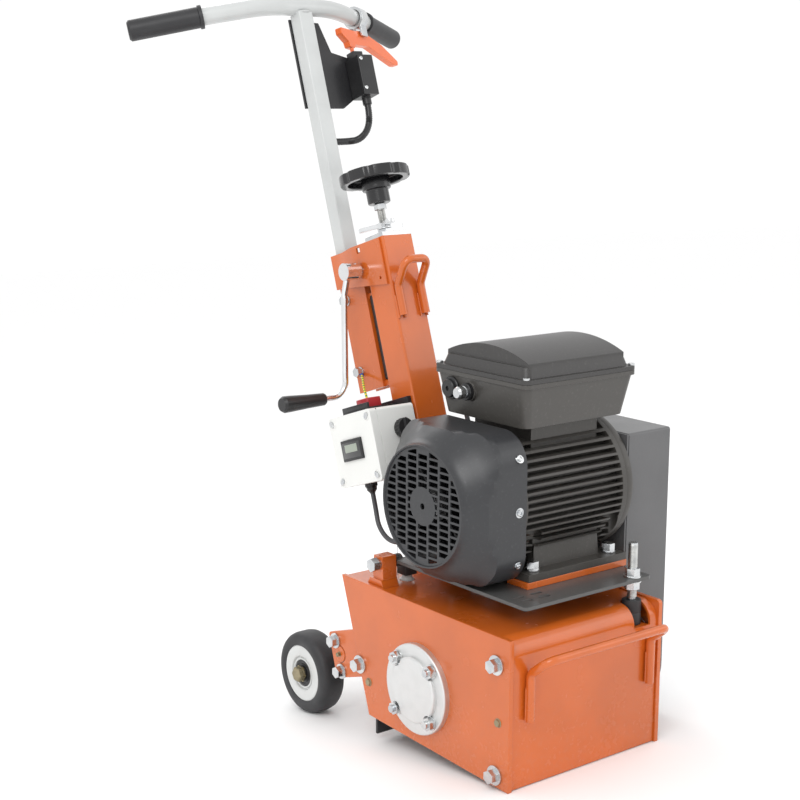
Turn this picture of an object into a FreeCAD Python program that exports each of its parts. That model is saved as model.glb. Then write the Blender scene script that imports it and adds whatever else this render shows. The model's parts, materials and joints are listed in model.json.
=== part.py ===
"""Walk-behind floor planer (scarifier) with an electric motor.

The machine is drawn in the frame of its housing: X across, Y from the front panel to the operator,
Z up, with the front bottom edge of the side plates on the X axis.  The lift column and everything
carried by the handle are drawn upright in a frame of their own that leans back with the column.
At the end every piece gets the Placement that stands the machine on its rear wheels and its front
edge, nose down, with the origin at the middle of its foot print.
"""
import FreeCAD, Part
import Sketcher
import math
import os
import re

doc = FreeCAD.newDocument("floor_planer")
sheet = doc.addObject("Spreadsheet::Sheet", "Sizes")

SIZES = (
    # housing
    ("plate_outer", 136.5, "half width over the side plates"),
    ("plate_thick", 7, "side plate"),
    ("side_top", 200, "height of the side plates"),
    ("side_length", 352.5, "side plate along the top"),
    ("side_foot_y", 288.7, "rear bottom corner"),
    ("side_foot_z", 11.6, "rise of the bottom edge"),
    ("deck_top", 198, "upper face of the deck"),
    ("deck_thick", 4, "deck and front panel sheet"),
    ("panel_front", 3, "front panel behind the plate edges"),
    ("fold_radius", 26, "bend between deck and front panel"),
    ("chamber_rear", 270, "front face of the drum chamber's rear wall"),
    ("notch_x", "=plate_outer - 35", "adjuster notch centre"),
    ("notch_width", 30, "adjuster notch"),
    ("notch_depth", 36, "adjuster notch behind the panel"),
    # drum
    ("drum_y", 176.8, "drum axis"),
    ("drum_z", 85.6, "drum axis"),
    ("flange_radius", 61.8, "bearing flange"),
    ("flange_thick", 9, "bearing flange"),
    ("flange_bolt", 35.5, "half the bolt square"),
    ("cap_radius", 45, "raised cap"),
    ("cap_rise", 5.5, "raised cap"),
    ("boss_radius", 40, "bearing housing inside the side plate"),
    ("drum_bearing_radius", 31, "62 mm bearing"),
    ("drum_bearing_width", 16, "bearing"),
    ("drum_shaft_radius", 15, "30 mm shaft"),
    ("drum_core_radius", 20, "hub tube of the drum"),
    ("drum_disc_radius", 66, "drum disc"),
    ("drum_disc_thick", 8, "drum disc"),
    ("cutter_circle", 55, "radius of the cutter pins"),
    ("cutter_radius", 32, "cutter star"),
    ("cutter_thick", 8, "cutter star"),
    ("cutter_pin_radius", 8, "16 mm pins"),
    ("running_gap", 0.05, "radial clearance of every running fit"),
    ("seat_gap", 0.25, "radial clearance of sleeves and cores that are glued or pressed in"),
    # rear wheels
    ("crank_y", 367, "pivot of the wheel crank"),
    ("crank_z", 76.4, "pivot of the wheel crank"),
    ("wheel_y", 467.7, "wheel axle"),
    ("wheel_z", 16.5, "wheel axle"),
    ("wheel_outer", 128.5, "outer face of the tyre from the middle"),
    ("tyre_radius", 61, "tyre"),
    ("tyre_width", 40, "tyre"),
    ("rim_radius", 42, "wheel rim"),
    ("axle_radius", 8.5, "wheel axle"),
    ("crank_shaft_radius", 12.5, "cross shaft"),
    ("crank_arm_thick", 10, "crank arms"),
    ("fork_reach", 37, "forward lever to its pin"),
    ("fork_rise", 4, "forward lever to its pin"),
    ("bracket_thick", 8, "rear brackets"),
    # lift column, in its own frame
    ("column_lean", 18.35, "degrees from upright"),
    ("column_y", 321.4, "origin of the column frame"),
    ("column_z", 416, "origin of the column frame"),
    ("column_width", 54, "outer tube across"),
    ("column_depth", 52, "outer tube front to back"),
    ("column_wall", 4, "outer tube"),
    ("column_top", 262, "top of the outer tube"),
    ("slide_gap", 0.7, "clearance of the lift tube"),
    ("tube_proud", 7, "lift tube above the outer tube"),
    ("end_thick", 6, "end plate of the lift tube"),
    ("tube_wall", 3.5, "lift tube"),
    ("tube_foot", 196, "lift tube below the column frame's origin"),
    ("nut_radius", 11, "nut welded on the lift tube, over its corners"),
    ("nut_height", 7, "nut welded on the lift tube"),
    ("spindle_radius", 6, "depth spindle"),
    ("wheel_level", 362, "handwheel, top of the hub"),
    ("handwheel_radius", 51, "handwheel"),
    ("lever_u", 225.5, "lift lever pivot"),
    ("lever_w", 62, "lift lever pivot"),
    ("journal_radius", 6, "lift lever shaft"),
    ("cam_throw", 9, "crank pin of the lift lever"),
    ("cam_radius", 4, "crank pin of the lift lever"),
    # handle
    ("post_side", 25, "square handle post"),
    ("post_front", 113, "front face of the post in the column frame"),
    ("post_top", 634, "post top"),
    ("post_foot", 60, "post bottom"),
    ("bar_radius", 13, "handlebar tube"),
    ("bar_w", 126, "handlebar middle"),
    ("grip_radius", 15.5, "grips"),
    ("channel_half", 16.5, "rear channel half width"),
    ("bracket_sheet", 3, "upper bracket sheet"),
    # motor
    ("motor_y", 160, "motor axis"),
    ("motor_z", 340, "motor axis"),
    ("plate_level", 233, "top of the motor plate"),
    ("plate_sheet", 5, "motor plate"),
    ("hinge_y", 284, "motor plate hinge"),
    ("hinge_drop", 4, "motor plate hinge under the plate's top"),
    ("hinge_span", 98, "half width over the hinge barrels"),
    ("column_room", 42, "half width of the notch round the column"),
    ("rail_thick", 9, "rails under the feet"),
    ("foot_thick", 10, "motor feet"),
    ("foot_spread", 80, "half the foot hole spacing across the axis"),
    ("foot_pitch", 70, "half the foot hole spacing along the axis"),
    ("foot_centre_x", 42, "middle of the foot holes"),
    ("frame_radius", 84, "motor frame without fins"),
    ("fin_radius", 97, "motor over its fins"),
    ("frame_start", -60, "motor frame"),
    ("frame_end", 128, "motor frame"),
    ("cowl_radius", 100, "fan cowl"),
    ("cowl_face", -150, "grille of the fan cowl"),
    ("cowl_wall", 2.5, "fan cowl"),
    ("motor_shaft_radius", 14, "28 mm shaft"),
    # belt drive
    ("guard_inner", 146, "back plate of the belt guard"),
    ("guard_outer", 230, "outer face of the belt guard"),
    ("guard_front", 82, "front face of the belt guard"),
    ("guard_rear", 256, "rear face of the belt guard"),
    ("guard_foot", 6, "bottom of the belt guard"),
    ("guard_top", 410, "top of the belt guard"),
    ("guard_wall", 2.5, "belt guard sheet"),
    ("motor_pulley_radius", 45, "pitch radius"),
    ("drum_pulley_radius", 58, "pitch radius"),
    ("pulley_start", 192, "inner face of the pulleys"),
    ("pulley_width", 30, "pulleys"),
)
for row, (alias, number, note) in enumerate(SIZES, start=1):
    sheet.set(f"A{row}", note)
    sheet.set(f"B{row}", str(number))
    sheet.setAlias(f"B{row}", alias)
doc.recompute()

ALIASES = {alias for alias, number, note in SIZES}
FRAMES = {}


# ---------------------------------------------------------------- helpers

def size(alias):
    """One number of the sheet."""
    return float(sheet.get(alias))


def ref(text):
    """The expression for a sum written with the sheet's aliases."""
    return re.sub(r"[a-z_]{3,}[a-z_0-9]*", lambda m: "Sizes." + m[0] if m[0] in ALIASES else m[0], str(text))


def value(text):
    """What such a sum comes to."""
    result = sheet.evalExpression(ref(text))
    return float(getattr(result, "Value", result))


def new_body(label, frame):
    body = doc.addObject("PartDesign::Body", label)
    body.Label = label
    if frame:
        FRAMES[label] = (body, frame)
    return body


def sketch_on(body, role, name, offset="0"):
    """A sketch on one of the body's own origin planes, moved along the plane's normal."""
    plane = next(item for item in body.Origin.OriginFeatures if item.Role == role)
    sketch = body.newObject("Sketcher::SketchObject", f"{body.Name}_{name}")
    sketch.AttachmentSupport = [(plane, "")]
    sketch.MapMode = "FlatFace"
    sketch.setExpression("AttachmentOffset.Base.z", ref(offset))
    return sketch


def bind(sketch, index, text):
    if ALIASES & set(re.findall(r"[a-z_]+[a-z_0-9]*", str(text))):
        sketch.setExpression(f"Constraints[{index}]", ref(text))


def pin_point(sketch, geometry, corner, x, y):
    """Hold one point of the sketch at two sums measured from the sketch's origin."""
    for kind, axis, text in (("DistanceX", -2, x), ("DistanceY", -1, y)):
        number = value(text)
        if abs(number) < 1e-9:
            sketch.addConstraint(Sketcher.Constraint("PointOnObject", geometry, corner, axis))
        else:
            place = sketch.addConstraint(Sketcher.Constraint(kind, -1, 1, geometry, corner, number))
            bind(sketch, place, text)


def outline(sketch, points):
    """A closed outline of straight lines through the points."""
    spots = [FreeCAD.Vector(value(x), value(y), 0) for x, y in points]
    count = len(spots)
    for i in range(count):
        sketch.addGeometry(Part.LineSegment(spots[i], spots[(i + 1) % count]))
    first = sketch.GeometryCount - count
    for i in range(count):
        sketch.addConstraint(Sketcher.Constraint("Coincident", first + (i - 1) % count, 2, first + i, 1))
        pin_point(sketch, first + i, 1, *points[i])


def rectangle(sketch, x, y, width, height):
    """A rectangle from its lower left corner."""
    outline(sketch, ((x, y), (f"{x} + {width}", y), (f"{x} + {width}", f"{y} + {height}"),
                     (x, f"{y} + {height}")))


def circle(sketch, x, y, radius):
    centre = FreeCAD.Vector(value(x), value(y), 0)
    ring = sketch.addGeometry(Part.Circle(centre, FreeCAD.Vector(0, 0, 1), value(radius)))
    pin_point(sketch, ring, 3, x, y)
    place = sketch.addConstraint(Sketcher.Constraint("Radius", ring, value(radius)))
    bind(sketch, place, radius)


def pad(body, sketch, length, back=False):
    feature = body.newObject("PartDesign::Pad", sketch.Name + "_pad")
    feature.Profile = sketch
    feature.setExpression("Length", ref(length))
    feature.Reversed = back
    doc.recompute()
    return feature


def pocket(body, sketch, length=None, along_normal=False):
    """Cut the sketch out, through everything or to a depth; the volume must go down."""
    before = body.Shape.Volume
    feature = body.newObject("PartDesign::Pocket", sketch.Name + "_pocket")
    feature.Profile = sketch
    if length is None:
        feature.Type = "ThroughAll"
    else:
        feature.setExpression("Length", ref(length))
    feature.Reversed = along_normal
    doc.recompute()
    if body.Shape.Volume >= before - 1e-6:
        raise RuntimeError(f"{feature.Name} cuts nothing")
    return feature


def revolve(body, sketch, axis):
    """Turn the sketch a full turn about its own H_Axis or V_Axis."""
    feature = body.newObject("PartDesign::Revolution", sketch.Name + "_turn")
    feature.Profile = sketch
    feature.ReferenceAxis = (sketch, [axis])
    feature.Angle = 360
    doc.recompute()
    return feature


def round_edges(body, radius, choose, kind="Fillet"):
    """Fillet or chamfer the edges that the test picks out."""
    base = body.Tip
    names = [f"Edge{i}" for i, edge in enumerate(base.Shape.Edges, start=1) if choose(edge)]
    feature = body.newObject(f"PartDesign::{kind}", f"{base.Name}_{kind.lower()}")
    feature.Base = (base, names)
    feature.setExpression("Radius" if kind == "Fillet" else "Size", ref(radius))
    doc.recompute()
    return feature


def runs_along(edge, axis):
    """Whether a straight edge runs along X, Y or Z."""
    if edge.Curve.TypeId != "Part::GeomLine":
        return False
    return abs(abs(getattr(edge.Curve.Direction, axis)) - 1) < 1e-6


def block(name, x, y, z, dx, dy, dz):
    """A box from its lowest corner; every size and place is a sum of the sheet's values."""
    feature = doc.addObject("Part::Box", name)
    for prop, text in (("Length", dx), ("Width", dy), ("Height", dz), ("Placement.Base.x", x),
                       ("Placement.Base.y", y), ("Placement.Base.z", z)):
        feature.setExpression(prop, ref(text))
    return feature


TURN = {
    "x": FreeCAD.Rotation(FreeCAD.Vector(0, 1, 0), 90),
    "y": FreeCAD.Rotation(FreeCAD.Vector(1, 0, 0), -90),
    "z": FreeCAD.Rotation(),
}


def rod(name, axis, x, y, z, radius, length):
    """A cylinder along X, Y or Z from the middle of its first end."""
    feature = doc.addObject("Part::Cylinder", name)
    feature.Placement = FreeCAD.Placement(FreeCAD.Vector(), TURN[axis])
    for prop, text in (("Radius", radius), ("Height", length), ("Placement.Base.x", x),
                       ("Placement.Base.y", y), ("Placement.Base.z", z)):
        feature.setExpression(prop, ref(text))
    return feature


def join(label, frame, shapes, kind="MultiFuse"):
    """Fuse (or only group, with kind Compound) several objects into one piece."""
    feature = doc.addObject(f"Part::{kind}", label)
    if kind == "Compound":
        feature.Links = shapes
    else:
        feature.Shapes = shapes
    feature.Label = label
    if frame:
        FRAMES[label] = (feature, frame)
    return feature


def cut(label, frame, base, tool):
    feature = doc.addObject("Part::Cut", label)
    feature.Base = base
    feature.Tool = tool
    feature.Label = label
    if frame:
        FRAMES[label] = (feature, frame)
    return feature


def formed(label, frame, shape):
    """A piece whose shape is worked out with Part's own functions."""
    feature = doc.addObject("Part::Feature", label)
    feature.Shape = shape
    feature.Label = label
    FRAMES[label] = (feature, frame)
    return feature


V = FreeCAD.Vector
X_AXIS = V(1, 0, 0)
Y_AXIS = V(0, 1, 0)
Z_AXIS = V(0, 0, 1)


def prism(points, thickness, axis):
    """A flat outline of 3-D points given a thickness along an axis."""
    wire = Part.makePolygon([V(*p) for p in points] + [V(*points[0])])
    return Part.Face(wire).extrude(axis * thickness)


def hexagon(start, axis, across, height):
    """A hexagonal prism standing on a point, as a nut or a bolt head."""
    radius = across / math.sqrt(3)
    corners = [V(radius * math.cos(math.radians(60 * k)), radius * math.sin(math.radians(60 * k)), 0)
               for k in range(6)]
    shape = Part.Face(Part.makePolygon(corners + [corners[0]])).extrude(V(0, 0, height))
    shape.Placement = FreeCAD.Placement(start, FreeCAD.Rotation(Z_AXIS, axis))
    return shape


def one_solid(shapes):
    """Several overlapping or touching shapes as a single solid."""
    fused = shapes[0].multiFuse(shapes[1:]).removeSplitter()
    return fused.Solids[0] if len(fused.Solids) == 1 else fused


def bolt(start, axis, across, washer_radius, shank_radius, grip, nut=True):
    """A hexagon bolt: its head and washer stand out of a face at start, against the axis,
    its shank runs along the axis through the grip, and a nut closes it behind."""
    thick = 0.18 * across
    head = 0.62 * across
    shapes = [Part.makeCylinder(washer_radius, thick, start, -axis),
              hexagon(start - axis * thick, -axis, across, head),
              Part.makeCylinder(shank_radius, grip + (head if nut else 0), start, axis)]
    if nut:
        shapes.append(hexagon(start + axis * grip, axis, across, head))
    return one_solid(shapes)


def bent_path(points, radius=None):
    """Straight runs joined by tangent arcs.  With no radius, each arc is as large as its runs allow."""
    spots = [V(*p) for p in points]
    edges = []
    radii = []
    start = spots[0]
    for before, corner, after in zip(spots, spots[1:], spots[2:]):
        into = (corner - before).normalize()
        out = (after - corner).normalize()
        turn = into.getAngle(out)
        run = min((corner - before).Length, (after - corner).Length)
        bend = radius if radius else 0.45 * run / math.tan(turn / 2)
        setback = bend * math.tan(turn / 2)
        radii.append(bend)
        first = corner - into * setback
        last = corner + out * setback
        inward = (out - into).normalize()
        middle = corner + inward * (bend / math.cos(turn / 2) - bend)
        edges.append(Part.LineSegment(start, first).toShape())
        edges.append(Part.Arc(first, middle, last).toShape())
        start = last
    edges.append(Part.LineSegment(start, spots[-1]).toShape())
    return Part.Wire(edges), radii


def tube_along(points, outer, radius=None):
    """A round solid swept along such a path."""
    path, radii = bent_path(points, radius)
    start = V(*points[0])
    ring = Part.Wire(Part.makeCircle(outer, start, (V(*points[1]) - start)))
    return path.makePipeShell([ring], True, False), radii, path.Length


# ---------------------------------------------------------------- housing

def side_plate(label, side):
    """One steel side of the housing: cut back at the rear, bored for the drum bearing."""
    body = new_body(label, "housing")
    face = "-plate_outer" if side < 0 else "plate_outer - plate_thick"
    profile = sketch_on(body, "YZ_Plane", "profile", face)
    outline(profile, (("0", "0"), ("side_foot_y", "side_foot_z"), ("side_length", "side_top"),
                      ("0", "side_top")))
    pad(body, profile, "plate_thick")
    bore = sketch_on(body, "YZ_Plane", "bore", face)
    circle(bore, "drum_y", "drum_z", "boss_radius + 0.5")
    pocket(body, bore, along_normal=True)
    holes = sketch_on(body, "YZ_Plane", "holes", face)
    for y, z in PLATE_BOLTS:
        circle(holes, y, z, "5.3")
    for y, z in TIE_RODS:
        circle(holes, y, z, "3.8")
    for dy in ("-", "+"):
        for dz in ("-", "+"):
            circle(holes, f"drum_y {dy} flange_bolt", f"drum_z {dz} flange_bolt", "5.3")
    pocket(body, holes, along_normal=True)
    if side > 0:
        round_edges(body, "6", lambda e: runs_along(e, "x")
                    and e.CenterOfMass.y < 1 and e.CenterOfMass.z > 150)
    return body


PLATE_BOLTS = ((308.6, 80.2), (23.9, 163.4), (24.3, 17.1))
TIE_RODS = ((288.9, 59.8), (20.3, 88))
side_plate("side_plate_left", -1)
side_plate("side_plate_right", 1)

# deck and front panel, one folded sheet between the side plates
deck = new_body("deck_cover", "housing")
fold = sketch_on(deck, "YZ_Plane", "fold", "-(plate_outer - plate_thick)")
outline(fold, (("panel_front", "1"), ("panel_front + deck_thick", "1"),
               ("panel_front + deck_thick", "deck_top - deck_thick"),
               ("side_length - 1", "deck_top - deck_thick"), ("side_length - 1", "deck_top"),
               ("panel_front", "deck_top")))
pad(deck, fold, "2 * (plate_outer - plate_thick)")
def on_fold(e, depth):
    """An edge across the machine at the corner between the panel and the deck."""
    return runs_along(e, "x") and abs(e.CenterOfMass.y - depth) < 0.1 and e.CenterOfMass.z > 100


panel_rear = size("panel_front") + size("deck_thick")
round_edges(deck, "fold_radius", lambda e: on_fold(e, size("panel_front")))
round_edges(deck, "fold_radius - deck_thick", lambda e: on_fold(e, panel_rear))
notch = sketch_on(deck, "XY_Plane", "notch", "deck_top + 1")
rectangle(notch, "notch_x - notch_width / 2", "-1", "notch_width",
          "panel_front + notch_depth - notch_width / 2 + 1")
pocket(deck, notch, "fold_radius + 4")
round_notch = sketch_on(deck, "XY_Plane", "round_notch", "deck_top + 1")
circle(round_notch, "notch_x", "panel_front + notch_depth - notch_width / 2", "notch_width / 2")
pocket(deck, round_notch, "fold_radius + 4")
rod_slot = sketch_on(deck, "XY_Plane", "rod_slot", "deck_top + 1")
rectangle(rod_slot, "-9", "272", "18", "28")
pocket(deck, rod_slot, "deck_thick + 2")

# rear wall of the drum chamber with the dust spigot's opening
wall = new_body("chamber_rear_wall", "housing")
wall_profile = sketch_on(wall, "YZ_Plane", "profile", "-(plate_outer - plate_thick)")
rectangle(wall_profile, "chamber_rear", "14", "4", "deck_top - deck_thick - 14")
pad(wall, wall_profile, "2 * (plate_outer - plate_thick)")

# steel rod bent to a lifting handle, welded to the front panel
HANDLE_MIDDLE = 4
handle_route = []
HANDLE_HALF = size("plate_outer") - 28.5
for way, y, z in ((-1, -3, 90), (-1, -3, 152), (-1, -33, 176), (1, -33, 176), (1, -3, 152), (1, -3, 90)):
    handle_route.append((way * HANDLE_HALF + HANDLE_MIDDLE, y, z))
handle_shape = tube_along(handle_route, 5.9, 14)[0]

# rubber dust skirt hung on the rear tie rod
skirt = new_body("rear_skirt", "housing")
skirt_profile = sketch_on(skirt, "YZ_Plane", "profile", "-(plate_outer - plate_thick - 1.5)")
outline(skirt_profile, (("280.5", "-16"), ("284.5", "-16"), ("284.5", "74"), ("280.5", "74")))
pad(skirt, skirt_profile, "2 * (plate_outer - plate_thick - 1.5)")

# ---------------------------------------------------------------- drum

R_DRUM = V(0, size("drum_y"), size("drum_z"))


def at_drum(x, radius=0, angle=0):
    a = math.radians(angle)
    return V(x, R_DRUM.y + radius * math.cos(a), R_DRUM.z + radius * math.sin(a))


def bearing_flange(side):
    """A cast flange with a raised cap outside the side plate and the bearing seat inside it."""
    outer = side * size("plate_outer")
    out = X_AXIS * side
    plate = Part.makeCylinder(size("flange_radius"), size("flange_thick"), at_drum(outer), out)
    plate = plate.makeFillet(2.5, [e for e in plate.Edges if abs(e.CenterOfMass.x) > abs(outer) + 5
                                   and e.Curve.TypeId == "Part::GeomCircle"])
    cap = Part.makeCylinder(size("cap_radius"), size("flange_thick") + size("cap_rise"), at_drum(outer), out)
    cap = cap.makeFillet(3, [e for e in cap.Edges if abs(e.CenterOfMass.x) > abs(outer) + 10
                             and e.Curve.TypeId == "Part::GeomCircle"])
    boss = Part.makeCylinder(size("boss_radius"), size("plate_thick") + 18, at_drum(outer), -out)
    shape = one_solid([plate, cap, boss])
    seat_depth = size("drum_bearing_width") + 2
    shape = shape.cut(Part.makeCylinder(size("drum_bearing_radius"), seat_depth,
                                        at_drum(outer - side * (size("plate_thick") + 18)), out))
    reach = size("plate_thick") + 18 + (size("flange_thick") + size("cap_rise") + 1 if side > 0 else 0)
    shape = shape.cut(Part.makeCylinder(size("drum_shaft_radius") + 1, reach + 1,
                                        at_drum(outer - side * (size("plate_thick") + 19)), out))
    for dy in (-1, 1):
        for dz in (-1, 1):
            hole = at_drum(outer) + V(-side, dy * size("flange_bolt"), dz * size("flange_bolt"))
            shape = shape.cut(Part.makeCylinder(5.3, 40, hole, out))
            spot_face = hole + out * (1 + size("flange_thick"))
            shape = shape.cut(Part.makeCylinder(11, size("cap_rise") + 1, spot_face, out))
    return shape


formed("bearing_flanges", "housing", Part.makeCompound([bearing_flange(-1), bearing_flange(1)]))

BEARING_START = size("plate_outer") - size("plate_thick") - 18


def ring(start, axis, outer, inner, width):
    return Part.makeCylinder(outer, width, start, axis).cut(Part.makeCylinder(inner, width, start, axis))


R_MOTOR = V(0, size("motor_y"), size("motor_z"))


def at_motor(x, radius=0, angle=0):
    a = math.radians(angle)
    return V(x, R_MOTOR.y + radius * math.cos(a), R_MOTOR.z + radius * math.sin(a))


MOTOR_BEARING_RADIUS = 28
MOTOR_BEARINGS = (size("frame_start") - 16, size("frame_end") + 1)
bearings = []
for side in (-1, 1):
    bearings.append(ring(at_drum(side * BEARING_START), X_AXIS * side, size("drum_bearing_radius"),
                         size("drum_shaft_radius") + size("running_gap"), size("drum_bearing_width")))
for x in MOTOR_BEARINGS:
    bearings.append(ring(at_motor(x), X_AXIS, MOTOR_BEARING_RADIUS,
                         size("motor_shaft_radius") + size("running_gap"), 15))
formed("bearings", "housing", Part.makeCompound(bearings))

# drum: a shaft with a hub tube and four discs that carry the cutter pins
DRUM_HALF = value("plate_outer - plate_thick") - 29.5     # outer faces of the end discs
BAY = (2 * DRUM_HALF - size("drum_disc_thick")) / 3
drum_discs = []
for k in range(4):
    drum_discs.append(rod(f"drum_disc_{k}", "x", k * BAY - DRUM_HALF, "drum_y", "drum_z",
                          "drum_disc_radius", "drum_disc_thick"))
shaft_start = -DRUM_HALF - 30
drum_shaft = rod("drum_shaft_bar", "x", shaft_start, "drum_y", "drum_z", "drum_shaft_radius",
                 f"{-shaft_start} + pulley_start + pulley_width + 2")
drum_core = rod("drum_core_tube", "x", -DRUM_HALF - 5, "drum_y", "drum_z", "drum_core_radius",
                2 * DRUM_HALF + 10)
PIN_DIRECTIONS = ((1, 0), (0, 1), (-1, 0), (0, -1))
pin_holes = []
pins = []
for k, (sy, sz) in enumerate(PIN_DIRECTIONS):
    pin_y = f"drum_y + {sy} * cutter_circle"
    pin_z = f"drum_z + {sz} * cutter_circle"
    pin_holes.append(rod(f"pin_hole_{k}", "x", -DRUM_HALF - 10, pin_y, pin_z, "cutter_pin_radius",
                         2 * DRUM_HALF + 20))
    pins.append(rod(f"cutter_pin_{k}", "x", -DRUM_HALF - 3, pin_y, pin_z, "cutter_pin_radius",
                    2 * DRUM_HALF + 6))
drum_solid = join("drum_solid", None, [drum_shaft, drum_core] + drum_discs)
cut("drum", "housing", drum_solid, join("pin_holes", None, pin_holes, "Compound"))
join("cutter_pins", "housing", pins, "Compound")

CUTTER_TEETH = 6


def cutter(x, pin_angle, turn):
    """A hardened star washer that hangs loosely on its pin."""
    centre = at_drum(x, size("cutter_circle"), pin_angle)
    corners = []
    for k in range(2 * CUTTER_TEETH):
        reach = size("cutter_radius") if k % 2 == 0 else 0.72 * size("cutter_radius")
        for edge in ((-7, 7) if k % 2 == 0 else (0,)):
            a = math.radians(180 * k / CUTTER_TEETH + turn + edge)
            corners.append((x, centre.y + reach * math.cos(a), centre.z + reach * math.sin(a)))
    star = prism(corners, size("cutter_thick"), X_AXIS)
    return star.cut(Part.makeCylinder(size("cutter_pin_radius") + 0.5, size("cutter_thick") + 2,
                                      centre - X_AXIS, X_AXIS))


cutters = []
for k in range(4):
    for bay in range(3):
        for place in range(4):
            bay_start = bay * BAY - DRUM_HALF + size("drum_disc_thick")
            x = bay_start + 3 + 0.21875 * BAY * place + (k % 2) * 3
            cutters.append(cutter(x, 90 * k, 13 * place))
formed("cutters", "housing", Part.makeCompound(cutters))


def pulley(label, y, z, radius, bore):
    """A two-groove V-belt pulley turned from one outline."""
    body = new_body(label, "housing")
    outer = f"{radius} + 4"
    groove = f"{radius} - 6.5"
    profile = sketch_on(body, "XZ_Plane", "profile", f"-({y})")
    stations = (("0", bore), ("0", outer), ("2", outer), ("5", groove), ("9", groove), ("12.5", outer),
                ("17.5", outer), ("21", groove), ("25", groove), ("28", outer), ("pulley_width", outer),
                ("pulley_width", bore))
    outline(profile, [(f"pulley_start + {x}", f"{z} + {r}") for x, r in stations])
    spin = profile.addGeometry(Part.LineSegment(V(value("pulley_start"), value(z), 0),
                                                V(value("guard_outer"), value(z), 0)), True)
    pin_point(profile, spin, 1, "pulley_start", z)
    pin_point(profile, spin, 2, "guard_outer", z)
    revolve(body, profile, "Axis0")
    return body


pulley("drum_pulley", "drum_y", "drum_z", "drum_pulley_radius", "drum_shaft_radius")
pulley("motor_pulley", "motor_y", "motor_z", "motor_pulley_radius", "motor_shaft_radius")


def belt(x, width):
    """A belt round both pulleys: two arcs joined by their outer tangents."""
    across = R_MOTOR - R_DRUM
    across.x = 0
    span = across.Length
    along = V(across).normalize()
    side = V(0, -along.z, along.y)

    def loop(grow):
        big = size("drum_pulley_radius") + grow
        small = size("motor_pulley_radius") + grow
        lean = math.asin((big - small) / span)
        edges = []
        tangent = {}
        for way in (-1, 1):
            normal = side * way * math.cos(lean) + along * math.sin(lean)
            tangent[way] = (at_drum(x) + normal * big, at_motor(x) + normal * small)
            edges.append(Part.LineSegment(*tangent[way]).toShape())
        edges.append(Part.Arc(tangent[-1][0], at_drum(x) - along * big, tangent[1][0]).toShape())
        edges.append(Part.Arc(tangent[-1][1], at_motor(x) + along * small, tangent[1][1]).toShape())
        return Part.Face(Part.Wire(Part.__sortEdges__(edges))).extrude(X_AXIS * width)

    return loop(4).cut(loop(-5))


belts = [belt(size("pulley_start") + x, 3.6) for x in (5.2, 21.2)]
formed("drive_belts", "housing", Part.makeCompound(belts))

# ---------------------------------------------------------------- rear wheels

BRACKET_BOLTS = ((376.7, 94), (362.4, 52.3))
BRACKET_INNER = "plate_outer - plate_thick - bracket_thick"


def rear_bracket(side):
    """A plate bolted inside the side plate that carries the end of the cross shaft."""
    start = value("-(plate_outer - plate_thick)" if side < 0 else BRACKET_INNER)
    corners = [(start, y, z) for y, z in ((395, 102), (375, 38), (296, 64), (317, 128))]
    shape = prism(corners, size("bracket_thick"), X_AXIS)
    shape = shape.makeFillet(5, [e for e in shape.Edges if runs_along(e, "x") and e.CenterOfMass.y > 350])
    bore = V(start - 1, size("crank_y"), size("crank_z"))
    radius = size("crank_shaft_radius") + size("running_gap")
    shape = shape.cut(Part.makeCylinder(radius, size("bracket_thick") + 2, bore, X_AXIS))
    for y, z in (PLATE_BOLTS[0], *BRACKET_BOLTS):
        shape = shape.cut(Part.makeCylinder(5.3, size("bracket_thick") + 2, V(start - 1, y, z), X_AXIS))
    return shape


formed("rear_brackets", "housing", Part.makeCompound([rear_bracket(-1), rear_bracket(1)]))

PIVOT = V(0, size("crank_y"), size("crank_z"))
AXLE = V(0, size("wheel_y"), size("wheel_z"))
HUB_INNER = size("wheel_outer") - size("tyre_width")


def link_plate(x, width, start, end, start_radius, end_radius):
    """A flat link with round ends, between two axes along X."""
    a = V(x, start.y, start.z)
    b = V(x, end.y, end.z)
    along = (b - a).normalize()
    side = V(0, -along.z, along.y)
    lean = math.asin((start_radius - end_radius) / (b - a).Length)
    corners = []
    for way, order in ((1, 1), (-1, -1)):
        normal = side * way * math.cos(lean) + along * math.sin(lean)
        corners += [a + normal * start_radius, b + normal * end_radius][::order]
    web = prism([tuple(c) for c in corners], width, X_AXIS)
    return [web, Part.makeCylinder(start_radius, width, a, X_AXIS),
            Part.makeCylinder(end_radius, width, b, X_AXIS)]


shaft_half = size("plate_outer") - size("plate_thick") - 1
FORK_PIN = PIVOT + V(0, -size("fork_reach"), size("fork_rise"))
crank_parts = [Part.makeCylinder(size("crank_shaft_radius"), 2 * shaft_half, PIVOT - X_AXIS * shaft_half,
                                 X_AXIS)]
for side in (-1, 1):
    collar = side * (value(BRACKET_INNER) - 5.5)
    crank_parts.append(Part.makeCylinder(17, 5, PIVOT + X_AXIS * collar, X_AXIS * side))
    inner = HUB_INNER - 3 - size("crank_arm_thick")
    start = inner if side > 0 else -inner - size("crank_arm_thick")
    crank_parts += link_plate(start, size("crank_arm_thick"), PIVOT, AXLE, 21, 15)
    crank_parts.append(Part.makeCylinder(size("axle_radius"), size("tyre_width") + 9,
                                         AXLE + X_AXIS * side * (inner + 5), X_AXIS * side))
    crank_parts.append(Part.makeCylinder(12, 4.6, AXLE + X_AXIS * side * (inner + size("crank_arm_thick")),
                                         X_AXIS * side))
    crank_parts.append(Part.makeCylinder(11, 2.5, AXLE + X_AXIS * side * (size("wheel_outer") - 1.6),
                                         X_AXIS * side))
    start = 6 if side > 0 else -14
    crank_parts += link_plate(start, 8, PIVOT, FORK_PIN, 20, 10)
crank_parts.append(Part.makeCylinder(5, 24, FORK_PIN - X_AXIS * 12, X_AXIS))
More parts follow.
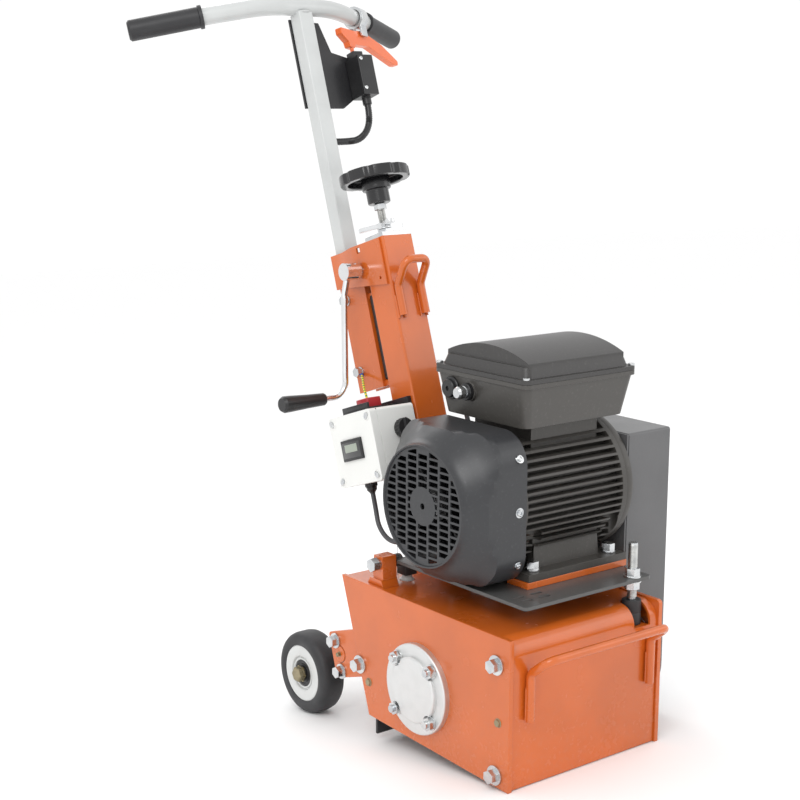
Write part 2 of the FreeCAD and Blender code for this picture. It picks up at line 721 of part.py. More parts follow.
formed("wheel_crank", "housing", one_solid(crank_parts))


def wheel(side):
    name = "left" if side < 0 else "right"
    start = -size("wheel_outer") if side < 0 else HUB_INNER
    tyre = ring(V(start, AXLE.y, AXLE.z), X_AXIS, size("tyre_radius"), size("rim_radius"),
                size("tyre_width"))
    tyre = tyre.makeFillet(7, [e for e in tyre.Edges if e.Curve.TypeId == "Part::GeomCircle"
                               and abs(e.Curve.Radius - size("tyre_radius")) < 0.1])
    formed(f"wheel_tyre_{name}", "housing", tyre)
    hub = ring(V(start + 2, AXLE.y, AXLE.z), X_AXIS, size("rim_radius"),
               size("axle_radius") + size("running_gap"),
               size("tyre_width") - 4)
    for face, way in ((start + 2, 1), (start + size("tyre_width") - 2, -1)):
        dish = ring(V(face, AXLE.y, AXLE.z), X_AXIS * way, 37, 21, 6)
        hub = hub.cut(dish)
    formed(f"wheel_hub_{name}", "housing", hub)


wheel(-1)
wheel(1)

# ---------------------------------------------------------------- lift column (column frame: Y back, Z up)

LEAN_BACK = FreeCAD.Placement(V(0, size("column_y"), size("column_z")),
                              FreeCAD.Rotation(X_AXIS, -size("column_lean")))
LEAN = math.radians(size("column_lean"))
HALF = size("column_width") / 2
DECK_LINE = "(deck_top - column_z"     # height of the deck under the column frame's origin


def deck_level(w):
    """Where the deck's upper face crosses a line at depth w, as an expression in the column frame."""
    return f"{DECK_LINE} + ({w}) * sin(column_lean * 1 deg)) / cos(column_lean * 1 deg)"


def in_housing(x, w, u):
    """A point of the column frame seen in the housing frame."""
    return (x, size("column_y") + w * math.cos(LEAN) + u * math.sin(LEAN),
            size("column_z") - w * math.sin(LEAN) + u * math.cos(LEAN))


def in_column(y, z):
    """A housing point seen in the column frame, as (w, u)."""
    dy = y - size("column_y")
    dz = z - size("column_z")
    return (dy * math.cos(LEAN) - dz * math.sin(LEAN), dy * math.sin(LEAN) + dz * math.cos(LEAN))


column = new_body("column_tube", "column")
column_side = sketch_on(column, "YZ_Plane", "side", "-column_width / 2")
outline(column_side, (("0", deck_level("0")), ("column_depth", deck_level("column_depth")),
                      ("column_depth", "column_top"), ("0", "column_top")))
pad(column, column_side, "column_width")
column_hollow = sketch_on(column, "XY_Plane", "hollow", "column_top + 1")
rectangle(column_hollow, "-column_width / 2 + column_wall", "column_wall",
          "column_width - 2 * column_wall", "column_depth - 2 * column_wall")
pocket(column, column_hollow)
cam_window = sketch_on(column, "XZ_Plane", "cam_window", "-column_depth - 1")
rectangle(cam_window, "-14", "lever_u - 30", "28", "56")
pocket(column, cam_window, "column_wall + 3", along_normal=True)
round_edges(column, "3", lambda e: runs_along(e, "z") and abs(abs(e.CenterOfMass.x) - HALF) < 0.1)

# welded wrap that ties the top of the column to the handle channel and carries the lever's shaft:
# bent from sheet, as wide as the column in front and as wide as the channel behind
SHEET = size("bracket_sheet")
POST_REAR = size("post_front") + size("post_side")
WRAP_NARROW = size("channel_half") + SHEET
WRAP_REAR = POST_REAR + SHEET + 1.4
WRAP_FRONT = 6          # front edge of the wrap, on the column's sides
WRAP_FOLD = 77          # where the sides turn in towards the channel
WRAP_SEAT = 112         # where they meet the channel
wrap_plan = ((HALF + SHEET, WRAP_FRONT), (HALF + SHEET, WRAP_FOLD), (WRAP_NARROW, WRAP_SEAT),
             (WRAP_NARROW, WRAP_REAR), (0, WRAP_REAR), (0, WRAP_REAR - SHEET),
             (WRAP_NARROW - SHEET, WRAP_REAR - SHEET), (WRAP_NARROW - SHEET, WRAP_SEAT - 0.5),
             (HALF, WRAP_FOLD - 0.5), (HALF, WRAP_FRONT))
wrap_view = ((WRAP_FRONT, 193), (122, 212), (WRAP_REAR, 214), (WRAP_REAR, 265),
             (WRAP_FRONT, size("column_top") - 1))
wrap_sides = [prism([(way * x, w, 190) for x, w in wrap_plan], 80, Z_AXIS) for way in (-1, 1)]
wrap_shape = wrap_sides[0].fuse(wrap_sides[1])
wrap_shape = wrap_shape.common(prism([(-40, w, u) for w, u in wrap_view], 80, X_AXIS))
for radius, w, u in ((size("journal_radius") + size("running_gap"), size("lever_w"), size("lever_u")),
                     (2.2, 18.5, 205.3)):
    wrap_shape = wrap_shape.cut(Part.makeCylinder(radius, 80, V(-40, w, u), X_AXIS))
wrap_shape = wrap_shape.cut(Part.makeBox(80, 8, 8, V(-40, 54.5, 250.5)))
wrap = doc.addObject("Part::Feature", "handle_bracket")
wrap.Shape = wrap_shape.removeSplitter()

# rear channel that grips the foot of the handle post, with its two distance pieces to the column
channel = new_body("handle_channel", None)
channel_plan = sketch_on(channel, "XY_Plane", "plan", "56")
outline(channel_plan, (("-channel_half", "78"), ("channel_half", "78"),
                       ("channel_half", "post_front + post_side"),
                       ("channel_half - 3.5", "post_front + post_side"), ("channel_half - 3.5", "81"),
                       ("-channel_half + 3.5", "81"), ("-channel_half + 3.5", "post_front + post_side"),
                       ("-channel_half", "post_front + post_side")))
pad(channel, channel_plan, "200")
for name, level in (("foot", "57"), ("head", "lever_u - 39.5")):
    distance = sketch_on(channel, "XY_Plane", name, level)
    rectangle(distance, "-12", "column_depth", "24", "78 - column_depth")
    pad(channel, distance, "8")
channel_holes = sketch_on(channel, "YZ_Plane", "holes", "-channel_half - 1")
for level in ("86.5", "194.3"):
    circle(channel_holes, "post_front + post_side / 2", level, "4.3")
WEB_HALF = "(column_width / 2 - 4.3)"
channel_web = [sketch_on(channel, "XY_Plane", f"web_{k}", level) for k, level in enumerate(("222", "248"))]
for web in channel_web:
    rectangle(web, f"-{WEB_HALF}", "85", f"2 * {WEB_HALF}", "6")
    pad(channel, web, "5")
inside = sketch_on(channel, "XY_Plane", "inside", "57")
rectangle(inside, "-channel_half + 3.5", "81", "2 * channel_half - 7", "post_front + post_side - 81")
pocket(channel, inside, along_normal=True)
pocket(channel, channel_holes, along_normal=True)
join("handle_mount", "column", [wrap, channel], "Compound")

# lifting loop on the front of the column
loop_route = ((-20, -5.8, 145), (-20, -5.8, 188), (-20, -33, 219), (20, -33, 219), (20, -5.8, 188),
              (20, -5.8, 145))
loop_shape = tube_along(loop_route, 5.8, 12)[0]
loop_shape.Placement = LEAN_BACK
formed("lifting_handles", "housing", Part.makeCompound([handle_shape, loop_shape]))

# foot of the column: two gussets on the deck
gussets = []
for side in (-1, 1):
    x = side * (HALF + 4) - 4
    foot = size("deck_top")
    corners = [(x, 232, foot), (x, 335, foot), (x, 318, foot + 18), (x, 304, foot + 64), (x, 292, foot + 64),
               (x, 250, foot + 18)]
    gussets.append(prism(corners, 8, X_AXIS))

# ---------------------------------------------------------------- lift tube, lever, spindle

TUBE_X = "column_width / 2 - column_wall - slide_gap"
TUBE_W = "column_wall + slide_gap"
TUBE_DEEP = "column_depth - 2 * column_wall - 2 * slide_gap"
tube = new_body("lift_tube", "column")
tube_body = sketch_on(tube, "XY_Plane", "body", "-tube_foot")
rectangle(tube_body, f"-({TUBE_X})", TUBE_W, f"2 * ({TUBE_X})", TUBE_DEEP)
pad(tube, tube_body, "tube_foot + column_top + tube_proud")
tube_hollow = sketch_on(tube, "XY_Plane", "hollow", "-tube_foot - 1")
rectangle(tube_hollow, f"-({TUBE_X}) + tube_wall", f"{TUBE_W} + tube_wall", f"2 * ({TUBE_X} - tube_wall)",
          f"{TUBE_DEEP} - 2 * tube_wall")
pocket(tube, tube_hollow, "tube_foot + 1 + column_top + tube_proud - end_thick", along_normal=True)
CAM_START = math.radians(135)
lug = sketch_on(tube, "YZ_Plane", "lug", "-5")
outline(lug, ((f"{TUBE_W} + {TUBE_DEEP} - 1", "lever_u - 12"), ("lever_w + 4", "lever_u - 12"),
              ("lever_w + 4", "lever_u + 20"), (f"{TUBE_W} + {TUBE_DEEP} - 1", "lever_u + 20")))
pad(tube, lug, "10")
lug_slot = sketch_on(tube, "YZ_Plane", "lug_slot", "-6")
rectangle(lug_slot, "lever_w - cam_throw - cam_radius - 1.3",
          "lever_u + cam_throw * sin(45 deg) - cam_radius - 0.9",
          "2 * cam_radius + 6.5", "2 * cam_radius + 1.8")
pocket(tube, lug_slot, "12", along_normal=True)
welded_nut = sketch_on(tube, "XY_Plane", "nut", "column_top + tube_proud")
NUT_CORNERS = ((1, 0), (0.5, 0.866), (-0.5, 0.866), (-1, 0), (-0.5, -0.866), (0.5, -0.866))
outline(welded_nut, [(f"{a} * nut_radius", f"column_depth / 2 + {b} * nut_radius") for a, b in NUT_CORNERS])
pad(tube, welded_nut, "nut_height")
spindle_bore = sketch_on(tube, "XY_Plane", "bore", "column_top + tube_proud + nut_height + 1")
circle(spindle_bore, "0", "column_depth / 2", "spindle_radius + running_gap")
pocket(tube, spindle_bore, "end_thick + nut_height + 2")

AXIS_W = size("column_depth") / 2
CAP_LEVEL = size("column_top") + size("tube_proud")
spindle_hole = size("spindle_radius") + size("running_gap")

# pull link from the foot of the lift tube down to the wheel crank, in the housing frame
LINK_TOP = V(*in_housing(0, AXIS_W, -size("tube_foot"))) + V(0, 4, 14)
KNEE = V(0, 289, size("deck_top") - 14)
link = link_plate(-4, 8, LINK_TOP, KNEE, 9, 8) + link_plate(-4, 8, KNEE, FORK_PIN + V(0, -2, 0), 8, 14)
EYE = 12
SLOT = 6.5
link_eye = prism([(-4, FORK_PIN.y - 14, FORK_PIN.z - EYE), (-4, FORK_PIN.y + 20, FORK_PIN.z - EYE),
                  (-4, FORK_PIN.y + 20, FORK_PIN.z + EYE), (-4, FORK_PIN.y - 14, FORK_PIN.z + EYE)], 8,
                 X_AXIS)
tube_inside = value(TUBE_X) - size("tube_wall")
link_pin = Part.makeCylinder(5, 2 * tube_inside, LINK_TOP - X_AXIS * tube_inside, X_AXIS)
link_body = one_solid(link + [link_eye, link_pin])
link_slot = prism([(-5, FORK_PIN.y - 7, FORK_PIN.z - SLOT), (-5, FORK_PIN.y + 13, FORK_PIN.z - SLOT),
                   (-5, FORK_PIN.y + 13, FORK_PIN.z + SLOT), (-5, FORK_PIN.y - 7, FORK_PIN.z + SLOT)], 10,
                  X_AXIS)
formed("lift_link", "housing", link_body.cut(link_slot))

# threaded spindle with a shallow thread pitch drawn as rings on its free length
SPINDLE_FOOT = 150
HUB_LEVEL = size("wheel_level") - 48
spindle_shape = Part.makeCylinder(size("spindle_radius"), size("wheel_level") - 4 - SPINDLE_FOOT,
                                  V(0, AXIS_W, SPINDLE_FOOT))
hub_nut = hexagon(V(0, AXIS_W, HUB_LEVEL - 9.4), Z_AXIS, 16, 9)
formed("depth_spindle", "column", one_solid([spindle_shape, hub_nut]))

# three-armed lock nut above the spindle nut
LOCK_LEVEL = CAP_LEVEL + size("nut_height") + 0.4
lock_parts = [Part.makeCylinder(10, 9, V(0, AXIS_W, LOCK_LEVEL))]
for k in range(3):
    arm = Part.makeBox(27, 13, 6, V(4, -6.5, 2))
    arm = arm.fuse(Part.makeCylinder(6.5, 6, V(31, 0, 2)))
    arm.Placement = FreeCAD.Placement(V(0, AXIS_W, LOCK_LEVEL), FreeCAD.Rotation(Z_AXIS, 120 * k + 10))
    lock_parts.append(arm)
lock_nut = one_solid(lock_parts).cut(Part.makeCylinder(spindle_hole, 20, V(0, AXIS_W, LOCK_LEVEL - 1)))
formed("lock_nut", "column", lock_nut)

# handwheel: a lobed rim, a web and a stepped hub
LOBES = 8
rim_level = size("wheel_level") - 16
rim = Part.makeCylinder(size("handwheel_radius"), 16, V(0, AXIS_W, rim_level))
for k in range(LOBES):
    a = 2 * math.pi * k / LOBES
    scallop = V(57.5 * math.cos(a), AXIS_W + 57.5 * math.sin(a), rim_level - 1)
    rim = rim.cut(Part.makeCylinder(9, 18, scallop))
rim = rim.cut(Part.makeCylinder(size("handwheel_radius") - 11, 12, V(0, AXIS_W, rim_level - 1)))
hub = one_solid([Part.makeCylinder(21, 26, V(0, AXIS_W, rim_level - 12)),
                 Part.makeCylinder(16.5, 22, V(0, AXIS_W, HUB_LEVEL))])
handwheel = one_solid([rim, hub])
handwheel = handwheel.cut(Part.makeCylinder(spindle_hole, 50, V(0, AXIS_W, HUB_LEVEL - 1)))
formed("handwheel", "column", handwheel)

# lift lever: shaft with a crank pin between two webs, boss, and a bent rod
SHAFT = V(0, size("lever_w"), size("lever_u"))
lever_out = -HALF - size("bracket_sheet")
journal = size("journal_radius")
cam_offset = V(0, size("cam_throw") * math.cos(CAM_START), size("cam_throw") * math.sin(CAM_START))
lever_parts = [Part.makeCylinder(journal, -10 - (lever_out - 26), SHAFT + V(lever_out - 26, 0, 0), X_AXIS),
               Part.makeCylinder(journal, -lever_out - 10 + 2, SHAFT + V(10, 0, 0), X_AXIS),
               Part.makeCylinder(size("cam_radius"), 24, SHAFT + cam_offset - X_AXIS * 12, X_AXIS),
               Part.makeCylinder(12.5, 24, SHAFT + V(lever_out - 30, 0, 0), X_AXIS)]
for x in (-11.5, 6.5):
    lever_parts += link_plate(x, 5, SHAFT, SHAFT + cam_offset, 7.5, 5)
LEVER_X = lever_out - 22
LEVER_FOOT = in_column(458, 428)
GRIP_START = LEVER_X - 38
ROD_RADIUS = 4.5
ROD_BEND = 22
lever_route = ((LEVER_X, SHAFT.y, SHAFT.z), (LEVER_X, *in_column(461, 575)), (LEVER_X, *LEVER_FOOT),
               (GRIP_START - 46, *LEVER_FOOT))
lever_parts.append(tube_along(lever_route, ROD_RADIUS, ROD_BEND)[0])
formed("lift_lever", "column", one_solid(lever_parts))
rod_hole = ROD_RADIUS + size("seat_gap")
grip_profile = [(0, rod_hole), (0, 8), (2, 9), (30, 10), (60, 11.8), (70, 12), (74, 9.5), (74, 0),
                (46.3, 0), (46.3, rod_hole), (0, rod_hole)]
grip_start = V(GRIP_START, *LEVER_FOOT)
face = Part.Face(Part.makePolygon([grip_start + V(-a, 0, b) for a, b in grip_profile]))
formed("lift_lever_grip", "column", face.revolve(grip_start, X_AXIS, 360))

# ---------------------------------------------------------------- handle

post = new_body("handle_post", "column")
post_plan = sketch_on(post, "XY_Plane", "plan", "post_foot")
rectangle(post_plan, "-post_side / 2", "post_front", "post_side", "post_side")
pad(post, post_plan, "post_top - post_foot")
post_hollow = sketch_on(post, "XY_Plane", "hollow", "post_foot - 1")
rectangle(post_hollow, "-post_side / 2 + 2.5", "post_front + 2.5", "post_side - 5", "post_side - 5")
pocket(post, post_hollow, along_normal=True)
post_holes = sketch_on(post, "YZ_Plane", "holes", "-post_side / 2 - 1")
for level in ("86.5", "194.3"):
    circle(post_holes, "post_front + post_side / 2", level, "4.3")
pocket(post, post_holes, along_normal=True)
post_half = size("post_side") / 2
round_edges(post, "2.2", lambda e: runs_along(e, "z") and abs(abs(e.CenterOfMass.x) - post_half) < 0.1)

BAR_LEVEL = size("post_top") + 11       # middle line of the bar over the post
BEND_LEVEL = BAR_LEVEL - 4.5
BAR_END = (240, 218, BAR_LEVEL - 10)
bar_route = ((-BAR_END[0], BAR_END[1], BAR_END[2]), (-141, 163, BEND_LEVEL), (-58, size("bar_w"), BAR_LEVEL),
             (58, size("bar_w"), BAR_LEVEL), (141, 163, BEND_LEVEL), BAR_END)
bar_shape = tube_along(bar_route, size("bar_radius"), 150)[0]
post_block = Part.makeBox(size("post_side"), size("post_side"), size("post_top"),
                          V(-size("post_side") / 2, size("post_front"), 0))
formed("handlebar", "column", bar_shape.cut(post_block))


def grip(side):
    """A rubber sleeve with a flange towards the middle, closed over the end of the bar."""
    bend = V(side * 141, 163, BEND_LEVEL)
    end = V(side * BAR_END[0], BAR_END[1], BAR_END[2])
    axis = (end - bend).normalize()
    start = bend + axis * 7
    bore = (end - start).Length
    inner = size("bar_radius") + size("seat_gap")
    outer = size("grip_radius")
    profile = [(inner, 0), (outer + 2, 0), (outer + 2, 5), (outer, 6), (outer, bore + 1),
               (outer - 3, bore + 4),
               (0, bore + 4), (0, bore + 0.3), (inner, bore + 0.3), (inner, 0)]
    face = Part.Face(Part.makePolygon([V(r, 0, a) for r, a in profile]))
    sleeve = face.revolve(V(), Z_AXIS, 360)
    sleeve.Placement = FreeCAD.Placement(start, FreeCAD.Rotation(Z_AXIS, axis))
    return sleeve


formed("grips", "column", Part.makeCompound([grip(-1), grip(1)]))

# operator-presence lever: a clamp under the bar, a lever that turns on its pin, and a limit switch
BAR_DROP = 24           # from the bar's middle line down to the lever's pin
SWEEP = math.radians(24)
LEVER_PIVOT = V(122, 152, BAR_LEVEL - 4 - BAR_DROP)
swept = FreeCAD.Placement(LEVER_PIVOT, FreeCAD.Rotation(Z_AXIS, math.degrees(SWEEP)))
clamp_hole = size("bar_radius") + 0.02
clamp_parts = [ring(V(-9, 0, BAR_DROP), X_AXIS, size("bar_radius") + 4.5, clamp_hole, 18),
               Part.makeBox(18, 3, BAR_DROP + 4, V(-9, -11, -7)),
               Part.makeBox(18, 3, BAR_DROP + 4, V(-9, 8, -7))]
clamp_shape = one_solid(clamp_parts)
clamp_shape = clamp_shape.cut(Part.makeCylinder(clamp_hole, 40, V(-20, 0, BAR_DROP), X_AXIS))
clamp_shape = clamp_shape.fuse(Part.makeCylinder(3, 22, V(0, -11, 0), Y_AXIS)).removeSplitter()
clamp_shape.Placement = swept
formed("lever_clamp", "column", clamp_shape.cut(bar_shape))
presence = [(-64, -2), (-64, -12), (-46, -22), (-44, -30), (-30, -30), (-26, -24), (14, -20), (92, -38),
            (104, -37), (106, -30), (60, -10), (12, 1), (-8, 1.5), (-22, -1)]
presence_shape = prism([(a, -5.5, b) for a, b in presence], 11, Y_AXIS)
presence_shape = presence_shape.makeFillet(2.5, [e for e in presence_shape.Edges if runs_along(e, "y")])
presence_shape.Placement = swept
pin_hole = Part.makeCylinder(3 + size("running_gap"), 20, V(0, -10, 0), Y_AXIS)
pin_hole.Placement = swept
formed("presence_lever", "column", presence_shape.cut(pin_hole))

PLATE_W = size("post_front") + size("post_side")
plate_corners = ((-15, 153), (56, 153), (88, 133), (88, 75), (52, 65), (38, 19), (-15, 15))
switch_plate = prism([(x, PLATE_W, BAR_LEVEL - drop) for x, drop in plate_corners], 3, Y_AXIS)
box_back = Part.makeBox(34 - HALF, 92, 118, V(-34, 6, -86))
formed("black_brackets", "column", Part.makeCompound([switch_plate, box_back]))

TAB_MIDDLE = -37        # of the presence lever, along it from its pin
TAB_LEVEL = LEVER_PIVOT.z - 30
plunger_x = swept.multVec(V(TAB_MIDDLE, 0, 0)).x
plunger_w = PLATE_W - 5
HEAD_TOP = TAB_LEVEL - 10
switch_body = Part.makeBox(28, 34, 62, V(plunger_x - 14, PLATE_W - 34, HEAD_TOP - 73))
switch_body = switch_body.makeFillet(2, [e for e in switch_body.Edges if runs_along(e, "z")])
switch_head = Part.makeBox(18, 18, 11, V(plunger_x - 9, PLATE_W - 18, HEAD_TOP - 11))
switch_gland = Part.makeCylinder(7, 12, V(plunger_x, PLATE_W - 17, HEAD_TOP - 85))
limit_switch = one_solid([switch_body, switch_head, switch_gland])
limit_switch = limit_switch.cut(Part.makeCylinder(3.35, 18, V(plunger_x, plunger_w, HEAD_TOP - 17)))
formed("limit_switch", "column", limit_switch)
plunger = Part.makeCylinder(3, 16.5, V(plunger_x, plunger_w, HEAD_TOP - 7))
plunger = plunger.makeFillet(1.5, [e for e in plunger.Edges if e.CenterOfMass.z > HEAD_TOP + 5])
formed("switch_plunger", "column", plunger)

# switch cable: out of the gland, round, and into the back of the post
post_entry = size("post_side") / 2
cable_route = ((plunger_x, PLATE_W - 17, 492), (plunger_x, PLATE_W - 17, 472),
               (plunger_x - 11, PLATE_W - 15, 450),
               (plunger_x - 34, PLATE_W - 13, 437), (post_entry + 0.2, PLATE_W - 12.5, 436))
switch_cable, switch_radii, switch_length = tube_along(cable_route, 3.5)
formed("switch_cable", "column", switch_cable)

# control box with its lid, hour meter and selector knob
BOX_W = (-4, 98)
BOX_U = (-78, 22)
BOX_X = (-98, -34)
box_shape = Part.makeBox(BOX_X[1] - BOX_X[0], 102, 100, V(BOX_X[0], BOX_W[0], BOX_U[0]))
box_shape = box_shape.makeFillet(5, [e for e in box_shape.Edges if runs_along(e, "x")])
cavity = Part.makeBox(BOX_X[1] - BOX_X[0] - 3, 96, 94, V(BOX_X[0] - 0.5, BOX_W[0] + 3, BOX_U[0] + 3))
KNOB = V(-62, BOX_W[0], -12)
box_shape = box_shape.cut(cavity).cut(Part.makeCylinder(4.4, 8, KNOB - Y_AXIS * 2, Y_AXIS))
GLAND = V(-80, 66, BOX_U[0])
SPARE_GLAND = V(-64, 38, BOX_U[0])
box_shape = box_shape.cut(Part.makeCylinder(6, 8, GLAND - Z_AXIS * 2))
formed("control_box", "column", box_shape)
lid_shape = Part.makeBox(12, 102, 100, V(BOX_X[0] - 12, BOX_W[0], BOX_U[0]))
lid_shape = lid_shape.makeFillet(5, [e for e in lid_shape.Edges if runs_along(e, "x")])
lid_shape = lid_shape.cut(Part.makeBox(9.5, 96, 94, V(BOX_X[0] - 9, BOX_W[0] + 3, BOX_U[0] + 3)))
METER = (28, -41, 38, 28)     # from w, from u, width, height
lid_shape = lid_shape.cut(Part.makeBox(6, METER[2], METER[3], V(BOX_X[0] - 14, METER[0], METER[1])))
formed("control_box_lid", "column", lid_shape)
meter_shape = Part.makeBox(12, METER[2] - 0.6, METER[3] - 0.6,
                           V(BOX_X[0] - 13.2, METER[0] + 0.3, METER[1] + 0.3))
meter_flange = Part.makeBox(1.2, METER[2] + 4, METER[3] + 4, V(BOX_X[0] - 13.2, METER[0] - 2, METER[1] - 2))
formed("hour_meter", "column", one_solid([meter_shape, meter_flange]))
knob_shape = one_solid([Part.makeCylinder(13, 12, KNOB - Y_AXIS * 13, Y_AXIS),
                        Part.makeCylinder(4, 18, KNOB - Y_AXIS * 2, Y_AXIS),
                        Part.makeBox(5, 4, 26, KNOB + V(-2.5, -16, -13))])
formed("selector_knob", "column", knob_shape)

# ---------------------------------------------------------------- motor

BUFFER_Y = 24           # stud, buffer and shelf of the belt tension adjuster
BUFFER_LEVEL = 168

motor_plate = new_body("motor_plate", "housing")
plate_plan = sketch_on(motor_plate, "XY_Plane", "plan", "plate_level - plate_sheet")
outline(plate_plan, (("-101", "12"), ("126", "12"), ("126", "262"), ("hinge_span", "262"),
                     ("hinge_span", "276"),
                     ("column_room", "276"), ("column_room", "250"), ("-column_room", "250"),
                     ("-column_room", "276"), ("-hinge_span + 1", "276"), ("-101", "272")))
pad(motor_plate, plate_plan, "plate_sheet")
plate_slots = sketch_on(motor_plate, "XY_Plane", "slots", "plate_level + 1")
for x in ("-88", "-58"):
    for y in ("30", "46"):
        rectangle(plate_slots, x, y, "18", "6")
for sx in ("-", "+"):
    for sy in ("-", "+"):
        circle(plate_slots, f"foot_centre_x {sx} foot_pitch", f"motor_y {sy} foot_spread", "5.4")
circle(plate_slots, "notch_x", BUFFER_Y, "6.4")
pocket(motor_plate, plate_slots)
for name, start, barrel_length in (("left", "-hinge_span", "11"), ("right", "hinge_span - 38", "38")):
    barrel = sketch_on(motor_plate, "YZ_Plane", f"{name}_barrel", start)
    circle(barrel, "hinge_y", "plate_level - hinge_drop", "9")
    pad(motor_plate, barrel, barrel_length)
barrel_bore = sketch_on(motor_plate, "YZ_Plane", "barrel_bore", "-hinge_span - 1")
circle(barrel_bore, "hinge_y", "plate_level - hinge_drop", "6.3")
pocket(motor_plate, barrel_bore, along_normal=True)
round_edges(motor_plate, "6", lambda e: runs_along(e, "z") and e.CenterOfMass.y < 13)

HINGE = V(0, size("hinge_y"), size("plate_level") - size("hinge_drop"))
DECK = size("deck_top")
lugs = []
for side in (-1, 1):
    start = side * 112 - 12
    flare = start - (0 if side > 0 else 4)
    lug_box = prism([(start, HINGE.y - 11, DECK), (start, HINGE.y + 13, DECK),
                     (start, HINGE.y + 11, DECK + 42),
                     (start, HINGE.y - 9, DECK + 42)], 24, X_AXIS)
    plinth = prism([(flare, HINGE.y - 16, DECK), (flare, HINGE.y + 20, DECK),
                    (flare, HINGE.y + 14, DECK + 10),
                    (flare, HINGE.y - 11, DECK + 10)], 28, X_AXIS)
    lug = one_solid([lug_box, plinth])
    lugs.append(lug.cut(Part.makeCylinder(6.3, 40, HINGE + X_AXIS * (start - 6), X_AXIS)))
SHELF_X = size("notch_x") - 18
shelf = Part.makeBox(34, 34, 8, V(SHELF_X, size("panel_front") + size("deck_thick"), BUFFER_LEVEL - 8))
shelf = shelf.cut(Part.makeCylinder(7, 20, V(size("notch_x"), BUFFER_Y, BUFFER_LEVEL - 13)))
formed("deck_brackets", "housing", Part.makeCompound(gussets + lugs + [shelf]))

rails = []
feet_top = size("plate_level") + size("rail_thick") + size("foot_thick")
for side in (-1, 1):
    y = size("motor_y") + side * size("foot_spread")
    rail = Part.makeBox(182, 40, size("rail_thick"),
                        V(-50, y - 20 + (4 if side < 0 else -4), size("plate_level")))
    for x in (-1, 1):
        rail_hole = V(size("foot_centre_x") + x * size("foot_pitch"), y, size("plate_level") - 1)
        rail = rail.cut(Part.makeCylinder(5.4, 30, rail_hole))
    rails.append(rail)
formed("motor_rails", "housing", Part.makeCompound(rails))

frame_long = size("frame_end") - size("frame_start")
fins = []
for k in range(-8, 9):
    level = R_MOTOR.z + 9.6 * k
    fins.append(Part.makeBox(frame_long - 16, 2 * size("fin_radius"), 3.2,
                             V(size("frame_start") + 8, R_MOTOR.y - size("fin_radius"), level - 1.6)))
fin_disc = Part.makeCylinder(size("fin_radius"), frame_long - 16, at_motor(size("frame_start") + 8), X_AXIS)
fin_stack = fin_disc.common(Part.makeCompound(fins))
core = Part.makeCylinder(size("frame_radius"), frame_long, at_motor(size("frame_start")), X_AXIS)
rims = [Part.makeCylinder(size("fin_radius"), 8, at_motor(x), X_AXIS)
        for x in (size("frame_start"), size("frame_end") - 8)]
pads = []
foot_level = size("plate_level") + size("rail_thick")
for side in (-1, 1):
    y0 = size("motor_y") + side * size("foot_spread")
    pads.append(Part.makeBox(178, 40, size("foot_thick"),
                             V(-48, y0 - 20 + (4 if side < 0 else -4), foot_level)))
    web = prism([(-20, y0 - side * 4, foot_level + 5), (-20, y0 - side * 34, foot_level + 5),
                 (-20, R_MOTOR.y + side * 30, R_MOTOR.z - 70),
                 (-20, R_MOTOR.y + side * 70, R_MOTOR.z - 40)], 118, X_AXIS)
    pads.append(web)
pedestal = Part.makeBox(120, 112, 60, V(-12, R_MOTOR.y - 56, R_MOTOR.z + 40))
frame_shape = one_solid([core, fin_stack] + rims + pads + [pedestal])
frame_shape = frame_shape.cut(Part.makeCylinder(size("frame_radius") - 5, frame_long + 2,
                                                at_motor(size("frame_start") - 1), X_AXIS))
PEDESTAL_TOP = R_MOTOR.z + 100
frame_shape = frame_shape.cut(Part.makeBox(90, 84, 60, V(3, R_MOTOR.y - 42, PEDESTAL_TOP - 30)))
for x in (-1, 1):
    for side in (-1, 1):
        spot = V(size("foot_centre_x") + x * size("foot_pitch"),
                 size("motor_y") + side * size("foot_spread"), foot_level - 1)
        frame_shape = frame_shape.cut(Part.makeCylinder(5.4, 14, spot))
        frame_shape = frame_shape.cut(Part.makeCylinder(11.5, 60, spot + V(0, 0, 1 + size("foot_thick"))))
formed("motor_frame", "housing", frame_shape)


FAN_SHIELD = ((0, 0), (0, 96), (6, 97), (14, 90), (24, 52), (26, 40), (26, 0))
DRIVE_SHIELD = ((0, 0), (0, 96), (6, 97), (13, 95), (17, 72), (28, 50), (46, 42), (47, 0))


def end_shield(profile, x, way):
    """A dished end shield, turned from its outline, with a bearing seat."""
    outline_points = [V(a, b, 0) for a, b in profile]
    turned = Part.Face(Part.makePolygon(outline_points + [V(0, 0, 0)])).revolve(V(), X_AXIS, 360)
    if way < 0:
        turned = turned.mirror(V(), X_AXIS)
    turned.translate(at_motor(x))
    seat = Part.makeCylinder(MOTOR_BEARING_RADIUS, 17, at_motor(x), X_AXIS * way)
    bore = Part.makeCylinder(size("motor_shaft_radius") + 1, 100, at_motor(x - 40), X_AXIS)
    return turned.cut(seat).cut(bore)


shields = [end_shield(DRIVE_SHIELD, size("frame_end"), 1), end_shield(FAN_SHIELD, size("frame_start"), -1)]
formed("motor_end_shields", "housing", Part.makeCompound(shields))

